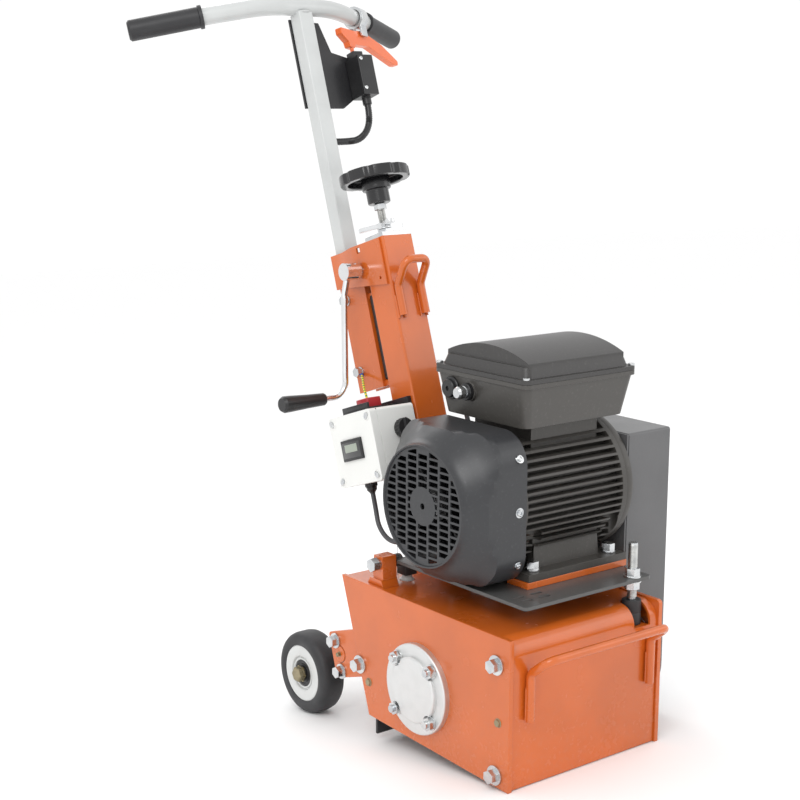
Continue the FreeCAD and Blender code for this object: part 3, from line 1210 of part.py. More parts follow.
stator_ring = ring(at_motor(-28), X_AXIS, size("frame_radius") - 5 - size("seat_gap"), 50, 126)
windings = [ring(at_motor(x), X_AXIS, 74, 54, 16) for x in (-44, 98)]
formed("stator", "housing", one_solid([stator_ring] + windings))
rotor = [Part.makeCylinder(size("motor_shaft_radius"),
                           127 + size("pulley_start") + size("pulley_width") + 2, at_motor(-127), X_AXIS),
         Part.makeCylinder(49, 126, at_motor(-28), X_AXIS)]
rotor_shape = one_solid(rotor)
formed("motor_rotor", "housing", rotor_shape)
fan_blades = [ring(at_motor(-124), X_AXIS, 22, size("motor_shaft_radius"), 30),
              ring(at_motor(-97), X_AXIS, 80, 20, 3)]
for k in range(8):
    blade = Part.makeBox(24, 60, 3, V(-121, 19, -1.5))
    blade.Placement = FreeCAD.Placement(at_motor(0), FreeCAD.Rotation(X_AXIS, 45 * k))
    fan_blades.append(blade)
formed("cooling_fan", "housing", one_solid(fan_blades))

# fan cowl: a squarish shell with rounded corners, closed by a round grille
COWL_LONG = 92


def cowl_solid(shrink, start, length):
    half = size("cowl_radius") - shrink
    block_shape = Part.makeBox(length, 2 * half, 2 * half, V(start, R_MOTOR.y - half, R_MOTOR.z - half))
    corner = 44 - shrink
    return block_shape.makeFillet(corner, [e for e in block_shape.Edges if runs_along(e, "x")])


nose_profile = [(0, 0), (0, 78), (3, 81), (24, 100), (34, 112), (60, 200), (COWL_LONG, 200), (COWL_LONG, 0)]


def nose(shrink, start):
    points = [V(a + start, max(b - shrink, 0), 0) for a, b in nose_profile]
    turned = Part.Face(Part.makePolygon(points + [points[0]])).revolve(V(), X_AXIS, 360)
    turned.translate(at_motor(0))
    return turned


face_x = size("cowl_face")
cowl_outer = cowl_solid(0, face_x, COWL_LONG).common(nose(0, face_x))
inner_face = face_x + size("cowl_wall")
cowl_inner = cowl_solid(size("cowl_wall"), inner_face, COWL_LONG)
cowl_inner = cowl_inner.common(nose(size("cowl_wall"), inner_face))
cowl = cowl_outer.cut(cowl_inner)
slots = []
for row in range(-8, 9):
    for col in range(-5, 6):
        y = 12.6 * col + (3 if row % 2 else -3)
        z = 8.2 * row
        if 24 < math.hypot(y, z) < 66:
            slots.append(Part.makeBox(8, 9.6, 5.2, at_motor(face_x - 2) + V(0, y - 4.8, z - 2.6)))
slots.append(Part.makeCylinder(4, 8, at_motor(face_x - 2), X_AXIS))
formed("fan_cowl", "housing", cowl.cut(Part.makeCompound(slots)))

# terminal box on the motor's pedestal
def tapered(x, y, low, high, bottom, top, corner):
    """A block between two rectangles, given as half sizes, with round corners."""
    wires = []
    for level, (a, b) in ((low, bottom), (high, top)):
        plate = Part.makeBox(2 * a, 2 * b, 1, V(x - a, y - b, level))
        plate = plate.makeFillet(corner, [e for e in plate.Edges if runs_along(e, "z")])
        bottom_face = min(plate.Faces, key=lambda f: f.CenterOfMass.z)
        wires.append(bottom_face.OuterWire)
    return Part.makeLoft(wires, True, True)


TB = (47, 162)          # middle of the terminal box, seen from above
TB_LOW = PEDESTAL_TOP
TB_FACE = TB[0] - 99    # flat bosses for the glands, on the end and on the rear
TB_REAR = TB[1] + 89
TB_PLUG = V(TB_FACE, TB[1] + 56, 476)
TB_GLAND = V(TB_FACE, TB[1] + 22, 476)
TB_ENTRY = V(TB[0] + 13, TB_REAR, 472)
tb_base = tapered(*TB, TB_LOW, 496, (90, 80), (99, 90), 12)
tb_bosses = [Part.makeCylinder(15, 12, TB_PLUG, X_AXIS), Part.makeCylinder(13, 12, TB_GLAND, X_AXIS),
             Part.makeCylinder(12, 12, TB_ENTRY, -Y_AXIS)]
tb_base = one_solid([tb_base, tapered(*TB, 494, 500, (101, 92), (101, 92), 10)] + tb_bosses)
tb_base = tb_base.cut(tapered(*TB, TB_LOW + 4, 501, (86, 76), (94, 85), 9))
tb_base = tb_base.cut(Part.makeBox(60, 60, 10, V(TB[0] - 30, TB[1] - 30, TB_LOW - 3)))
formed("terminal_box", "housing", tb_base)
tb_lid = tapered(*TB, 500, 506, (101, 92), (101, 92), 10)
dome = tapered(*TB, 505, 520, (94, 85), (90, 80), 10)
arch = Part.makeCylinder(200, 180, V(TB[0] - 90, TB[1], 541 - 200), X_AXIS)
crown = Part.makeBox(172, 160, 40, V(TB[0] - 86, TB[1] - 80, 506)).common(arch)
tb_lid = one_solid([tb_lid, dome, crown])
tb_lid = tb_lid.cut(tapered(*TB, 499, 516, (88, 78), (84, 74), 8))
formed("terminal_box_lid", "housing", tb_lid)

glands = [one_solid([Part.makeCylinder(13, 5, TB_PLUG, -X_AXIS), Part.makeCylinder(9, 9, TB_PLUG, -X_AXIS)]),
          one_solid([hexagon(TB_GLAND, -X_AXIS, 20, 7), Part.makeCylinder(7, 20, TB_GLAND, -X_AXIS)]),
          one_solid([hexagon(TB_ENTRY, Y_AXIS, 18, 7), Part.makeCylinder(7, 16, TB_ENTRY, Y_AXIS)])]

# motor cable, from the gland under the control box to the rear of the terminal box
gland_out = in_housing(GLAND.x, GLAND.y, GLAND.z - 14)
gland_next = in_housing(GLAND.x, GLAND.y, GLAND.z - 36)
motor_route = (gland_out, gland_next, (-82, 339, 262), (-83, 313, 247), (-82, 284, 252), (-78, 269, 278),
               (-66, 268, 308), (-42, 269, 326), (-12, 271, 334), (18, 275, 342), (44, 284, 356),
               (58, 298, 378), (60, 315, 402), (60, 324, 429), (60, 315, 455.5), (60, 292.5, 472),
               (60, TB_ENTRY.y + 16, TB_ENTRY.z))
motor_cable, motor_cable_radii, motor_cable_length = tube_along(motor_route, 3.5)
formed("motor_cable", "housing", motor_cable)

# ---------------------------------------------------------------- belt guard

guard = new_body("belt_guard", "housing")
guard_side = sketch_on(guard, "YZ_Plane", "side", "guard_inner + 3")
rectangle(guard_side, "guard_front", "guard_foot", "guard_rear - guard_front", "guard_top - guard_foot")
pad(guard, guard_side, "guard_outer - guard_inner - 3")
round_edges(guard, "60", lambda e: runs_along(e, "x") and e.CenterOfMass.z < 50)
round_edges(guard, "4", lambda e: runs_along(e, "x") and e.CenterOfMass.z > 300)
guard_shell = guard.newObject("PartDesign::Thickness", "belt_guard_shell")
inner_face = next(f"Face{i}" for i, f in enumerate(guard.Shape.Faces, start=1)
                  if abs(f.CenterOfMass.x - size("guard_inner") - 3) < 0.01)
guard_shell.Base = (guard.Group[-2], [inner_face])
guard_shell.setExpression("Value", ref("guard_wall"))
guard_shell.Reversed = True
doc.recompute()

GUARD_BOLTS = ((106, 36), (232, 36), (100, 180), (238, 180))
back_plate = new_body("guard_back_plate", "housing")
back_side = sketch_on(back_plate, "YZ_Plane", "side", "guard_inner")
rectangle(back_side, "guard_front + 1", "guard_foot + 1", "guard_rear - guard_front - 2",
          "guard_top - guard_foot - 2")
pad(back_plate, back_side, "3")
round_edges(back_plate, "59", lambda e: runs_along(e, "x") and e.CenterOfMass.z < 50)
back_holes = sketch_on(back_plate, "YZ_Plane", "holes", "guard_inner - 1")
circle(back_holes, "drum_y", "drum_z", "flange_radius + 2")
circle(back_holes, "motor_y", "motor_z", "74")
for y, z in GUARD_BOLTS:
    circle(back_holes, y, z, "4.3")
pocket(back_plate, back_holes, along_normal=True)

# dust spigot in the rear wall of the drum chamber
SPIGOT = V(50, size("chamber_rear"), 148)
NECK_RADIUS = 24.2      # the narrower end, welded into the wall
NECK_LENGTH = 6
spigot_hole = sketch_on(wall, "XZ_Plane", "spigot_hole", "-(chamber_rear - 1)")
circle(spigot_hole, SPIGOT.x, SPIGOT.z, f"{NECK_RADIUS} + seat_gap")
pocket(wall, spigot_hole, "8")
neck = ring(SPIGOT, Y_AXIS, NECK_RADIUS, 23, NECK_LENGTH)
hose_end = ring(SPIGOT + Y_AXIS * NECK_LENGTH, Y_AXIS, 25, 23, 68)
formed("dust_spigot", "housing", one_solid([neck, hose_end]))

# ---------------------------------------------------------------- small pieces

fasteners = []
for side in (-1, 1):
    out = X_AXIS * side
    outer = side * size("plate_outer")
    for y, z in PLATE_BOLTS:
        extra = size("bracket_thick") if y > 300 else 0
        fasteners.append(bolt(V(outer, y, z), -out, 16, 13, 5, size("plate_thick") + extra))
    for y, z in BRACKET_BOLTS:
        start = V(side * (size("plate_outer") - size("plate_thick")), y, z)
        fasteners.append(bolt(start, -out, 15, 11, 5, size("bracket_thick"), nut=False))
    for dy in (-1, 1):
        for dz in (-1, 1):
            start = V(outer + side * size("flange_thick"), R_DRUM.y + dy * size("flange_bolt"),
                      R_DRUM.z + dz * size("flange_bolt"))
            stud = [Part.makeCylinder(10, 1.8, start, out), hexagon(start + out * 1.8, out, 16, 7),
                    Part.makeCylinder(5, size("flange_thick") + size("plate_thick") + 12, start + out * 13,
                                      -out),
                    hexagon(V(side * (size("plate_outer") - size("plate_thick")), start.y, start.z), -out,
                            16, 5)]
            fasteners.append(one_solid(stud))
    lug_face = V(side * 124, 284, size("plate_level") - 4)
    fasteners.append(bolt(lug_face, -out, 17, 6.5, 6, 37 if side < 0 else 46, nut=False))
    for x in (-1, 1):
        head = V(size("foot_centre_x") + x * size("foot_pitch"),
                 size("motor_y") + side * size("foot_spread"), feet_top)
        grip_length = size("foot_thick") + size("rail_thick") + size("plate_sheet")
        fasteners.append(bolt(head, -Z_AXIS, 16, 10, 5, grip_length))
for y, z in TIE_RODS:
    fasteners.append(Part.makeCylinder(3.5, 2 * size("plate_outer") + 6, V(-size("plate_outer") - 3, y, z),
                                       X_AXIS))
for y, z in GUARD_BOLTS:
    fasteners.append(one_solid([Part.makeCylinder(8, size("guard_inner") - size("plate_outer"),
                                                  V(size("plate_outer"), y, z), X_AXIS),
                                Part.makeCylinder(4, 16, V(size("plate_outer"), y, z), X_AXIS),
                                hexagon(V(size("guard_inner") + 3, y, z), X_AXIS, 13, 5)]))
stud_foot = V(size("notch_x"), BUFFER_Y, BUFFER_LEVEL)
under = size("plate_level") - size("plate_sheet")
above = size("plate_level")
fasteners.append(one_solid([Part.makeCylinder(6, 112, stud_foot),
                            Part.makeCylinder(12, 2, V(stud_foot.x, BUFFER_Y, above)),
                            hexagon(V(stud_foot.x, BUFFER_Y, above + 2), Z_AXIS, 18, 10),
                            Part.makeCylinder(12, 2, V(stud_foot.x, BUFFER_Y, under - 2)),
                            hexagon(V(stud_foot.x, BUFFER_Y, under - 12), Z_AXIS, 18, 10)]))
for x in (-1, 1):
    for y in (-1, 1):
        fasteners.append(Part.makeCylinder(4.5, 3, V(TB[0] + x * 95, TB[1] + y * 86, 506)))

buffer_ring = ring(V(size("notch_x"), BUFFER_Y, BUFFER_LEVEL), Z_AXIS, 13, 6.2, 34)
stop_block = one_solid([Part.makeBox(20, 20, 21.5, V(-84, 274, DECK + 8)),
                        Part.makeCylinder(6, 9, V(-74, 284, DECK))])
formed("rubber_buffers", "housing", Part.makeCompound([buffer_ring, stop_block]))

column_bolts = []
for level in (86.5, 194.3):
    start = V(-size("channel_half"), size("post_front") + size("post_side") / 2, level)
    column_bolts.append(bolt(start, X_AXIS, 13, 8, 4, 2 * size("channel_half")))
for w in (BOX_W[0] + 8, BOX_W[1] - 8):
    for u in (BOX_U[0] + 8, BOX_U[1] - 8):
        column_bolts.append(Part.makeCylinder(4, 2.2, V(BOX_X[0] - 12, w, u), -X_AXIS))
for spot in (GLAND, SPARE_GLAND):
    gland = one_solid([hexagon(spot, -Z_AXIS, 17, 6), Part.makeCylinder(7, 14, spot, -Z_AXIS)])
    gland.Placement = LEAN_BACK * gland.Placement
    glands.append(gland)
formed("cable_glands", "housing", Part.makeCompound(glands))
for shape in column_bolts:
    shape.Placement = LEAN_BACK * shape.Placement
formed("fasteners", "housing", Part.makeCompound(fasteners + column_bolts))

# ---------------------------------------------------------------- stand the machine on the floor

reach = math.hypot(AXLE.y, AXLE.z)
pitch = math.asin(size("tyre_radius") / reach) - math.atan2(AXLE.z, AXLE.y)
nose_down = FreeCAD.Rotation(X_AXIS, math.degrees(pitch))


def stand(shift):
    """Give every piece its Placement."""
    level = FreeCAD.Placement(shift, nose_down)
    for feature, frame in FRAMES.values():
        feature.Placement = level * LEAN_BACK if frame == "column" else level
    doc.recompute()


for item in doc.Objects:
    if "Invalid" in item.State or "Error" in item.State:
        raise RuntimeError(f"{item.Label}: {item.State}")
stand(V())
box = FreeCAD.BoundBox()
for feature, frame in FRAMES.values():
    box.add(feature.Shape.optimalBoundingBox(True, False))
SHIFT = V(-(box.XMin + box.XMax) / 2, -(box.YMin + box.YMax) / 2, -box.ZMin)
stand(SHIFT)

print(f"pieces {len(FRAMES)}, pitch {math.degrees(pitch):.3f} deg, shift {SHIFT}, "
      f"size {box.XLength:.1f} x {box.YLength:.1f} x {box.ZLength:.1f}")
print("bend radii: motor cable", [round(r) for r in motor_cable_radii], "switch cable",
      [round(r) for r in switch_radii])
print(f"cable lengths: motor {motor_cable_length:.0f}, switch {switch_length:.0f}")

os.makedirs("parts", exist_ok=True)
for label, (feature, frame) in FRAMES.items():
    shape = feature.Shape
    if shape.isNull() or not shape.isValid() or not shape.Solids:
        raise RuntimeError(f"{label} has no valid solid")
    shape.exportStep(f"parts/{label}.step")
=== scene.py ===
# %% [markdown]
# # A walk-behind floor planer, dressed in Blender
# The imported model brings every piece at its real size and place. This lesson leaves all of that
# where it is and gives the machine its surfaces: rounded edges, turned and moulded pieces, cables,
# weld beads and the finish of each material. The model is loaded first and its box is kept.

# %% Load the frame
import json
import math

import bpy
from mathutils import Matrix, Vector


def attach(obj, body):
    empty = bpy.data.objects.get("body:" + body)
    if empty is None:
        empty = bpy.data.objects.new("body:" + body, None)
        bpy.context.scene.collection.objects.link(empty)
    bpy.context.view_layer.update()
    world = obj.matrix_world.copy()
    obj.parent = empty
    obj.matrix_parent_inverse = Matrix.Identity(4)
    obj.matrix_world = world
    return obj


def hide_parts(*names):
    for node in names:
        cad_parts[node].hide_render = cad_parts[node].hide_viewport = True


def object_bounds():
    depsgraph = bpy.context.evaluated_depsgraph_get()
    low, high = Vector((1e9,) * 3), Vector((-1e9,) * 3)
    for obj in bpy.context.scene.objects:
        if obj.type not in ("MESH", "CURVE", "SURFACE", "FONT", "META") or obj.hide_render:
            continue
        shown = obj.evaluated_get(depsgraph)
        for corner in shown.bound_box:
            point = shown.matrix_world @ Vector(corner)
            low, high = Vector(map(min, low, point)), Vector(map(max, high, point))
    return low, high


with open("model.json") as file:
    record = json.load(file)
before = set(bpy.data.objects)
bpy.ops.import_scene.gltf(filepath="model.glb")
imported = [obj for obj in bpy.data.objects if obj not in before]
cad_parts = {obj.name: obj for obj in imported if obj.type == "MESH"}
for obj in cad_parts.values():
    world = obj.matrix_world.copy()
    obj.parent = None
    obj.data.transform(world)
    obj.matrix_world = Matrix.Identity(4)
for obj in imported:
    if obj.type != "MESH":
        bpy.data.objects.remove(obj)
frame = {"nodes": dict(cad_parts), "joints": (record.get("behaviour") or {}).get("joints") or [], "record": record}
cad_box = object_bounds()
print("pieces in the frame:", len(frame["nodes"]))

# %% [markdown]
# Three parts of the machine lean at different angles. The housing stands nose down on its rear
# wheels, and the lift column leans back from it. A piece is easiest to model upright, at the
# origin of the part that carries it, so each carrier gets a matrix: X across the machine, Y to the
# rear, Z up. The joints of the record say where the axes are, so no angle is typed in here.

# %% Carriers
RECORD = frame["record"]
JOINTS = {joint["name"]: joint for joint in frame["joints"]}
BODY_OF = {node: body for body, nodes in RECORD["behaviour"]["bodies"].items() for node in nodes}
ACROSS = Vector((1, 0, 0))
MM = 0.001


def carrier(origin, up):
    """The matrix of a carrier whose Z runs along up and whose Y points to the rear."""
    up = Vector(up).normalized()
    matrix = Matrix((ACROSS, up.cross(ACROSS), up)).transposed().to_4x4()
    matrix.translation = Vector(origin)
    return matrix


def moved(matrix, x, y, z):
    """The same carrier with its origin at another of its own points, in millimetres."""
    return matrix @ Matrix.Translation(Vector((x, y, z)) * MM)


SPIGOT = next(mount for mount in RECORD["mounts"] if mount["name"] == "dust_spigot")
HOUSING_UP = ACROSS.cross(Vector(SPIGOT["axis"]))
COLUMN_UP = Vector(JOINTS["lift_tube_slide"]["axis"])
DRUM = carrier(JOINTS["drum_spin"]["pos_m"], HOUSING_UP)
HOUSING = moved(DRUM, 0, -176.8, -85.6)
MOTOR_MIDDLE = carrier(JOINTS["rotor_spin"]["pos_m"], HOUSING_UP)
LEVER = carrier(JOINTS["lift_lever_swing"]["pos_m"], COLUMN_UP)
COLUMN = moved(LEVER, 0, -62, -225.5)
WHEELS = carrier(JOINTS["wheel_left_roll"]["pos_m"], HOUSING_UP)
WHEELS.translation.x = 0
print("column leans", round(math.degrees(math.atan2(COLUMN_UP.y, COLUMN_UP.z)), 2), "degrees")

# %% [markdown]
# Shader sums are easier to read as sums than as a list of Math nodes. A small class wraps a
# socket, so that `1 - mask` or `grain * 0.2` adds the node by itself. Everything else comes from
# one method that makes a node of any type, sets it up and fills its inputs.

# %% Shader helpers
class Wire:
    """The output of a node, which can be added, multiplied and so on."""

    def __init__(self, shader, socket):
        self.shader = shader
        self.socket = socket

    def sum(self, operation, first, second):
        return self.shader.node("ShaderNodeMath", {"operation": operation}, {0: first, 1: second})

    def __add__(self, other):
        return self.sum("ADD", self, other)

    def __sub__(self, other):
        return self.sum("SUBTRACT", self, other)

    def __rsub__(self, other):
        return self.sum("SUBTRACT", other, self)

    def __mul__(self, other):
        return self.sum("MULTIPLY", self, other)

    __radd__ = __add__
    __rmul__ = __mul__


class Shader:
    """A material whose Principled shader is filled in step by step."""

    def __init__(self, name):
        self.material = bpy.data.materials.new(name)
        self.material.use_nodes = True
        self.tree = self.material.node_tree
        self.surface = self.tree.nodes["Principled BSDF"]
        self.place = self.node("ShaderNodeTexCoord", output="Object")

    def node(self, kind, settings=None, inputs=None, output=0):
        """Any node: its settings first, then its inputs, as values or as wires."""
        made = self.tree.nodes.new(kind)
        for name, value in (settings or {}).items():
            if name == "stops":
                ramp = made.color_ramp.elements
                for stop, (position, colour) in enumerate(value):
                    element = ramp[stop] if stop < 2 else ramp.new(position)
                    element.position = position
                    element.color = (*colour, 1)
            else:
                setattr(made, name, value)
        for name, value in (inputs or {}).items():
            self.fill(made.inputs[name], value)
        return Wire(self, made.outputs[output])

    def fill(self, socket, value):
        if isinstance(value, Wire):
            self.tree.links.new(value.socket, socket)
        elif socket.type == "RGBA":
            socket.default_value = (*value[:3], 1)
        else:
            socket.default_value = value

    def set(self, **inputs):
        for name, value in inputs.items():
            self.fill(self.surface.inputs[name.replace("_", " ")], value)
        return self

    def noise(self, scale, detail=3, stretch=None):
        """A noise from 0 to 1, with features of about 1 / scale metres."""
        place = self.place
        if stretch:
            place = self.node("ShaderNodeMapping", inputs={"Vector": place, "Scale": stretch})
        return self.node("ShaderNodeTexNoise", inputs={"Vector": place, "Scale": scale, "Detail": detail})

    def ramp(self, value, low, high):
        """0 below low, 1 above high, and a smooth rise between."""
        settings = {"interpolation_type": "SMOOTHSTEP"}
        inputs = {"Value": value, "From Min": low, "From Max": high}
        return self.node("ShaderNodeMapRange", settings, inputs)

    def mix(self, amount, first, second):
        """One colour laid over another."""
        made = self.tree.nodes.new("ShaderNodeMix")
        made.data_type = "RGBA"
        for index, value in ((0, amount), (6, first), (7, second)):
            self.fill(made.inputs[index], value)
        return Wire(self, made.outputs[2])

    def bump(self, height, distance, strength=1.0):
        inputs = {"Height": height, "Distance": distance, "Strength": strength}
        return self.set(Normal=self.node("ShaderNodeBump", inputs=inputs))


print("shader helpers ready")

# %% [markdown]
# Powder coat is a thick, glossy skin. Up close it has a soft orange-peel ripple a few millimetres
# wide, and its colour is a little uneven where the powder was thin. A floor planer also gathers
# fine dust low down, so the coat turns slightly paler and duller towards the floor.

# %% Powder coat and paint
def paint(name, colour, roughness, peel, coat, dust=0.0):
    """Paint on steel: uneven colour, orange peel, dust that thickens towards the floor."""
    made = Shader(name)
    uneven = made.ramp(made.noise(9, 4), 0.35, 0.7)
    darker = tuple(c * 0.86 for c in colour)
    base = made.mix(uneven, colour, darker)
    if dust:
        low = 1 - made.ramp(made.node("ShaderNodeSeparateXYZ", inputs={0: made.place}, output=2), 0.0, 0.16)
        speck = made.ramp(made.noise(160, 5), 0.45, 0.75)
        layer = low * speck * dust
        base = made.mix(layer, base, (0.42, 0.40, 0.37))
        made.set(Roughness=made.noise(26, 3) * 0.10 + layer * 0.5 + (roughness - 0.05))
    else:
        made.set(Roughness=made.noise(26, 3) * 0.10 + (roughness - 0.05))
    made.set(Base_Color=base, Coat_Weight=coat, Coat_Roughness=0.08, IOR=1.5)
    made.bump(made.noise(420, 2), peel)
    return made.material


ORANGE = paint("orange powder coat", (0.62, 0.125, 0.014), 0.26, 0.00007, 0.5, dust=0.06)
GUARD_GREY = paint("grey textured paint", (0.115, 0.115, 0.118), 0.42, 0.00022, 0.15)
# The motor plate has the guard's grey paint, made darker: painted shade where the plate lies under the motor.
PLATE_GREY_AS_PAINTED_SHADE = paint("guard grey darkened as painted shade", (0.085, 0.085, 0.083), 0.40, 0.0002, 0.15)
BLACK_SHEET = paint("black sheet paint", (0.016, 0.016, 0.018), 0.38, 0.00015, 0.1)
POST_SILVER = paint("silver bar paint", (0.56, 0.575, 0.57), 0.34, 0.00006, 0.45)
print("paints:", len(bpy.data.materials))

# %% [markdown]
# The motor is cast aluminium sprayed a warm dark grey. A casting keeps the grain of its mould, so
# its bump is coarser than paint on sheet, and dust settles in the grain. The fan cowl beside it is
# pressed steel with a smoother black finish.

# %% Castings
def casting(name, colour, roughness, grain):
    """A painted casting: sand-like grain in two sizes, and duller where the grain is deep."""
    made = Shader(name)
    coarse = made.noise(240, 4)
    fine = made.noise(900, 3)
    worn = made.ramp(coarse, 0.55, 0.8)
    lighter = tuple(c * 1.35 + 0.006 for c in colour)
    made.set(Base_Color=made.mix(worn, colour, lighter), Roughness=fine * 0.12 + (roughness - 0.06))
    made.bump(coarse * 0.7 + fine * 0.3, grain)
    return made.material


MOTOR_GREY = casting("motor casting grey", (0.052, 0.048, 0.043), 0.42, 0.00025)
BOX_GREY = casting("terminal box grey", (0.062, 0.058, 0.053), 0.36, 0.00012)
# The lid has the grey of the terminal box, made darker: painted shade on its top face.
LID_GREY_AS_PAINTED_SHADE = casting("terminal box grey darkened as painted shade", (0.042, 0.040, 0.039), 0.40, 0.0001)
COWL_BLACK = casting("fan cowl black", (0.030, 0.031, 0.034), 0.33, 0.00004)
PULLEY_IRON = casting("pulley iron", (0.10, 0.10, 0.10), 0.45, 0.0003)
print("castings:", MOTOR_GREY.name, BOX_GREY.name, LID_GREY_AS_PAINTED_SHADE.name, COWL_BLACK.name)

# %% [markdown]
# Zinc plating is bright and slightly blue, with cloudy patches. Turned steel shows fine rings left
# by the tool, and chrome is almost a mirror, so all it needs is a trace of smudge in its roughness.

# %% Bare metals
def metal(name, colour, roughness, cloud, streaks=None, tint=(1, 1, 1)):
    """Bare or plated metal: cloudy tint, smudges, and fine streaks along one direction."""
    made = Shader(name)
    patches = made.ramp(made.noise(60, 4), 0.35, 0.7)
    clouded = tuple(c * t * cloud for c, t in zip(colour, tint))
    made.set(Base_Color=made.mix(patches, colour, clouded), Metallic=1.0)
    smudge = made.noise(35, 3) * 0.14 + (roughness - 0.07)
    made.set(Roughness=smudge)
    made.bump(made.noise(500, 3, streaks), 0.00006 if streaks else 0.00004)
    return made.material


ZINC = metal("bright zinc", (0.66, 0.67, 0.67), 0.24, 0.82, tint=(0.98, 1.0, 1.04))
STUD_ZINC = metal("stud zinc", (0.60, 0.60, 0.58), 0.30, 0.8)
TURNED = metal("turned steel", (0.42, 0.42, 0.42), 0.34, 0.85, streaks=(1, 0.05, 0.05))
CHROME = metal("chrome plate", (0.78, 0.79, 0.80), 0.12, 0.95)
OLIVE = metal("yellow zinc", (0.36, 0.31, 0.20), 0.36, 0.75)
HARD_STEEL = metal("cutter steel", (0.22, 0.21, 0.20), 0.45, 0.6)
FLANGE_WHITE = metal("plated flange", (0.74, 0.745, 0.74), 0.5, 0.96)
COPPER = metal("varnished copper", (0.45, 0.20, 0.09), 0.35, 0.7)
print("metals:", ZINC.name, CHROME.name, TURNED.name, FLANGE_WHITE.name)

# %% [markdown]
# Rubber and plastic differ mostly in shine. Rubber is rough, with a faint bloom that lightens it
# in patches. Moulded plastic is smoother, with a spark-eroded grain on handles and a polished face
# on the handwheel.

# %% Rubber and plastic
def moulded(name, colour, roughness, grain, bloom=1.2, coat=0.0):
    """Rubber or plastic: a fine moulded grain and patches of bloom."""
    made = Shader(name)
    patches = made.ramp(made.noise(22, 4), 0.4, 0.75)
    pale = tuple(c * bloom + 0.002 for c in colour)
    made.set(Base_Color=made.mix(patches, colour, pale), Coat_Weight=coat, Coat_Roughness=0.06)
    made.set(Roughness=made.noise(70, 3) * 0.1 + (roughness - 0.05))
    made.bump(made.noise(1100, 2), grain)
    return made.material


RUBBER = moulded("matt rubber", (0.022, 0.021, 0.022), 0.58, 0.0001, 1.5)
GRIP_RUBBER = moulded("grip rubber", (0.020, 0.020, 0.022), 0.46, 0.00006, 1.4)
TYRE = moulded("solid tyre", (0.024, 0.024, 0.026), 0.55, 0.00008, 1.7)
HUB_WHITE = moulded("white wheel plastic", (0.66, 0.67, 0.66), 0.4, 0.00004, 0.93)
BOX_WHITE = moulded("pale box plastic", (0.80, 0.805, 0.78), 0.36, 0.00004, 0.97)
GLOSS_BLACK = moulded("polished black plastic", (0.008, 0.008, 0.009), 0.22, 0.00001, 1.2, coat=0.25)
BLACK_PLASTIC = moulded("black plastic", (0.014, 0.014, 0.015), 0.38, 0.00005, 1.3)
ORANGE_PLASTIC = moulded("orange plastic", (0.80, 0.150, 0.035), 0.34, 0.00004, 0.95, coat=0.2)
CABLE_GREY = moulded("grey cable jacket", (0.060, 0.060, 0.064), 0.45, 0.00004, 1.2)
CABLE_BLACK = moulded("black conduit", (0.014, 0.014, 0.015), 0.35, 0.00003, 1.2)
BLUE_PLASTIC = moulded("blue terminal sleeve", (0.02, 0.10, 0.42), 0.35, 0.00002)
RED_PLASTIC = moulded("red connector", (0.42, 0.03, 0.04), 0.3, 0.00002)
DARK_WINDOW = moulded("meter window", (0.010, 0.011, 0.012), 0.1, 0.000001, coat=0.8)
LCD = moulded("meter display", (0.34, 0.38, 0.32), 0.3, 0.000001, 0.95)
print("finishes:", len(bpy.data.materials))

# %% [markdown]
# Most pieces of the machine are cut, folded or cast, and their shape in the frame is right, except
# that a real edge is never perfectly sharp. Such a piece is shown by a copy whose loose triangles
# are merged and whose hard edges get a small bevel. The bevel catches the light along each edge,
# which is what makes sheet metal look like metal.

# %% A copy with softened edges
def nothing_selected():
    """Back to object mode, with nothing selected."""
    if bpy.context.object and bpy.context.object.mode != "OBJECT":
        bpy.ops.object.mode_set(mode="OBJECT")
    bpy.ops.object.select_all(action="DESELECT")


def only(piece):
    """Make this the one selected and active object."""
    nothing_selected()
    piece.select_set(True)
    bpy.context.view_layer.objects.active = piece


def apply(piece, kind, **settings):
    """Add a modifier with these settings and apply it."""
    only(piece)
    modifier = piece.modifiers.new(kind, kind)
    for name, value in settings.items():
        setattr(modifier, name, value)
    bpy.ops.object.modifier_apply(modifier=modifier.name)


def finished(piece, body, finish, angle=35):
    """Smooth shading up to an angle, a material, and a body to ride on."""
    only(piece)
    bpy.ops.object.shade_smooth_by_angle(angle=math.radians(angle))
    if finish:
        piece.data.materials.clear()
        piece.data.materials.append(finish)
    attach(piece, body)
    return piece


def softened(node, width, finish, sides=2, limit=30, angle=32):
    """Show a CAD node by a copy with rounded edges; the width is in millimetres."""
    source = frame["nodes"][node]
    piece = bpy.data.objects.new(node + "_soft", source.data.copy())
    bpy.context.scene.collection.objects.link(piece)
    only(piece)
    bpy.ops.object.mode_set(mode="EDIT")
    bpy.ops.mesh.select_all(action="SELECT")
    bpy.ops.mesh.remove_doubles(threshold=0.00001)
    bpy.ops.mesh.dissolve_limited(angle_limit=math.radians(0.3))
    bpy.ops.object.mode_set(mode="OBJECT")
    if width:
        apply(piece, "BEVEL", width=width * MM, segments=sides, limit_method="ANGLE",
              angle_limit=math.radians(limit), use_clamp_overlap=False, miter_outer="MITER_ARC")
    finished(piece, BODY_OF[node], finish, angle)
    apply(piece, "WEIGHTED_NORMAL", keep_sharp=True)
    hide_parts(node)
    return piece


print("edge tools ready")

# %% [markdown]
# The width of the bevel goes with the piece: thick plate and castings get almost a millimetre,
# thin sheet half of that, and the rim of the handwheel two. The bearing flanges get none, because
# their edges are turned sharp.

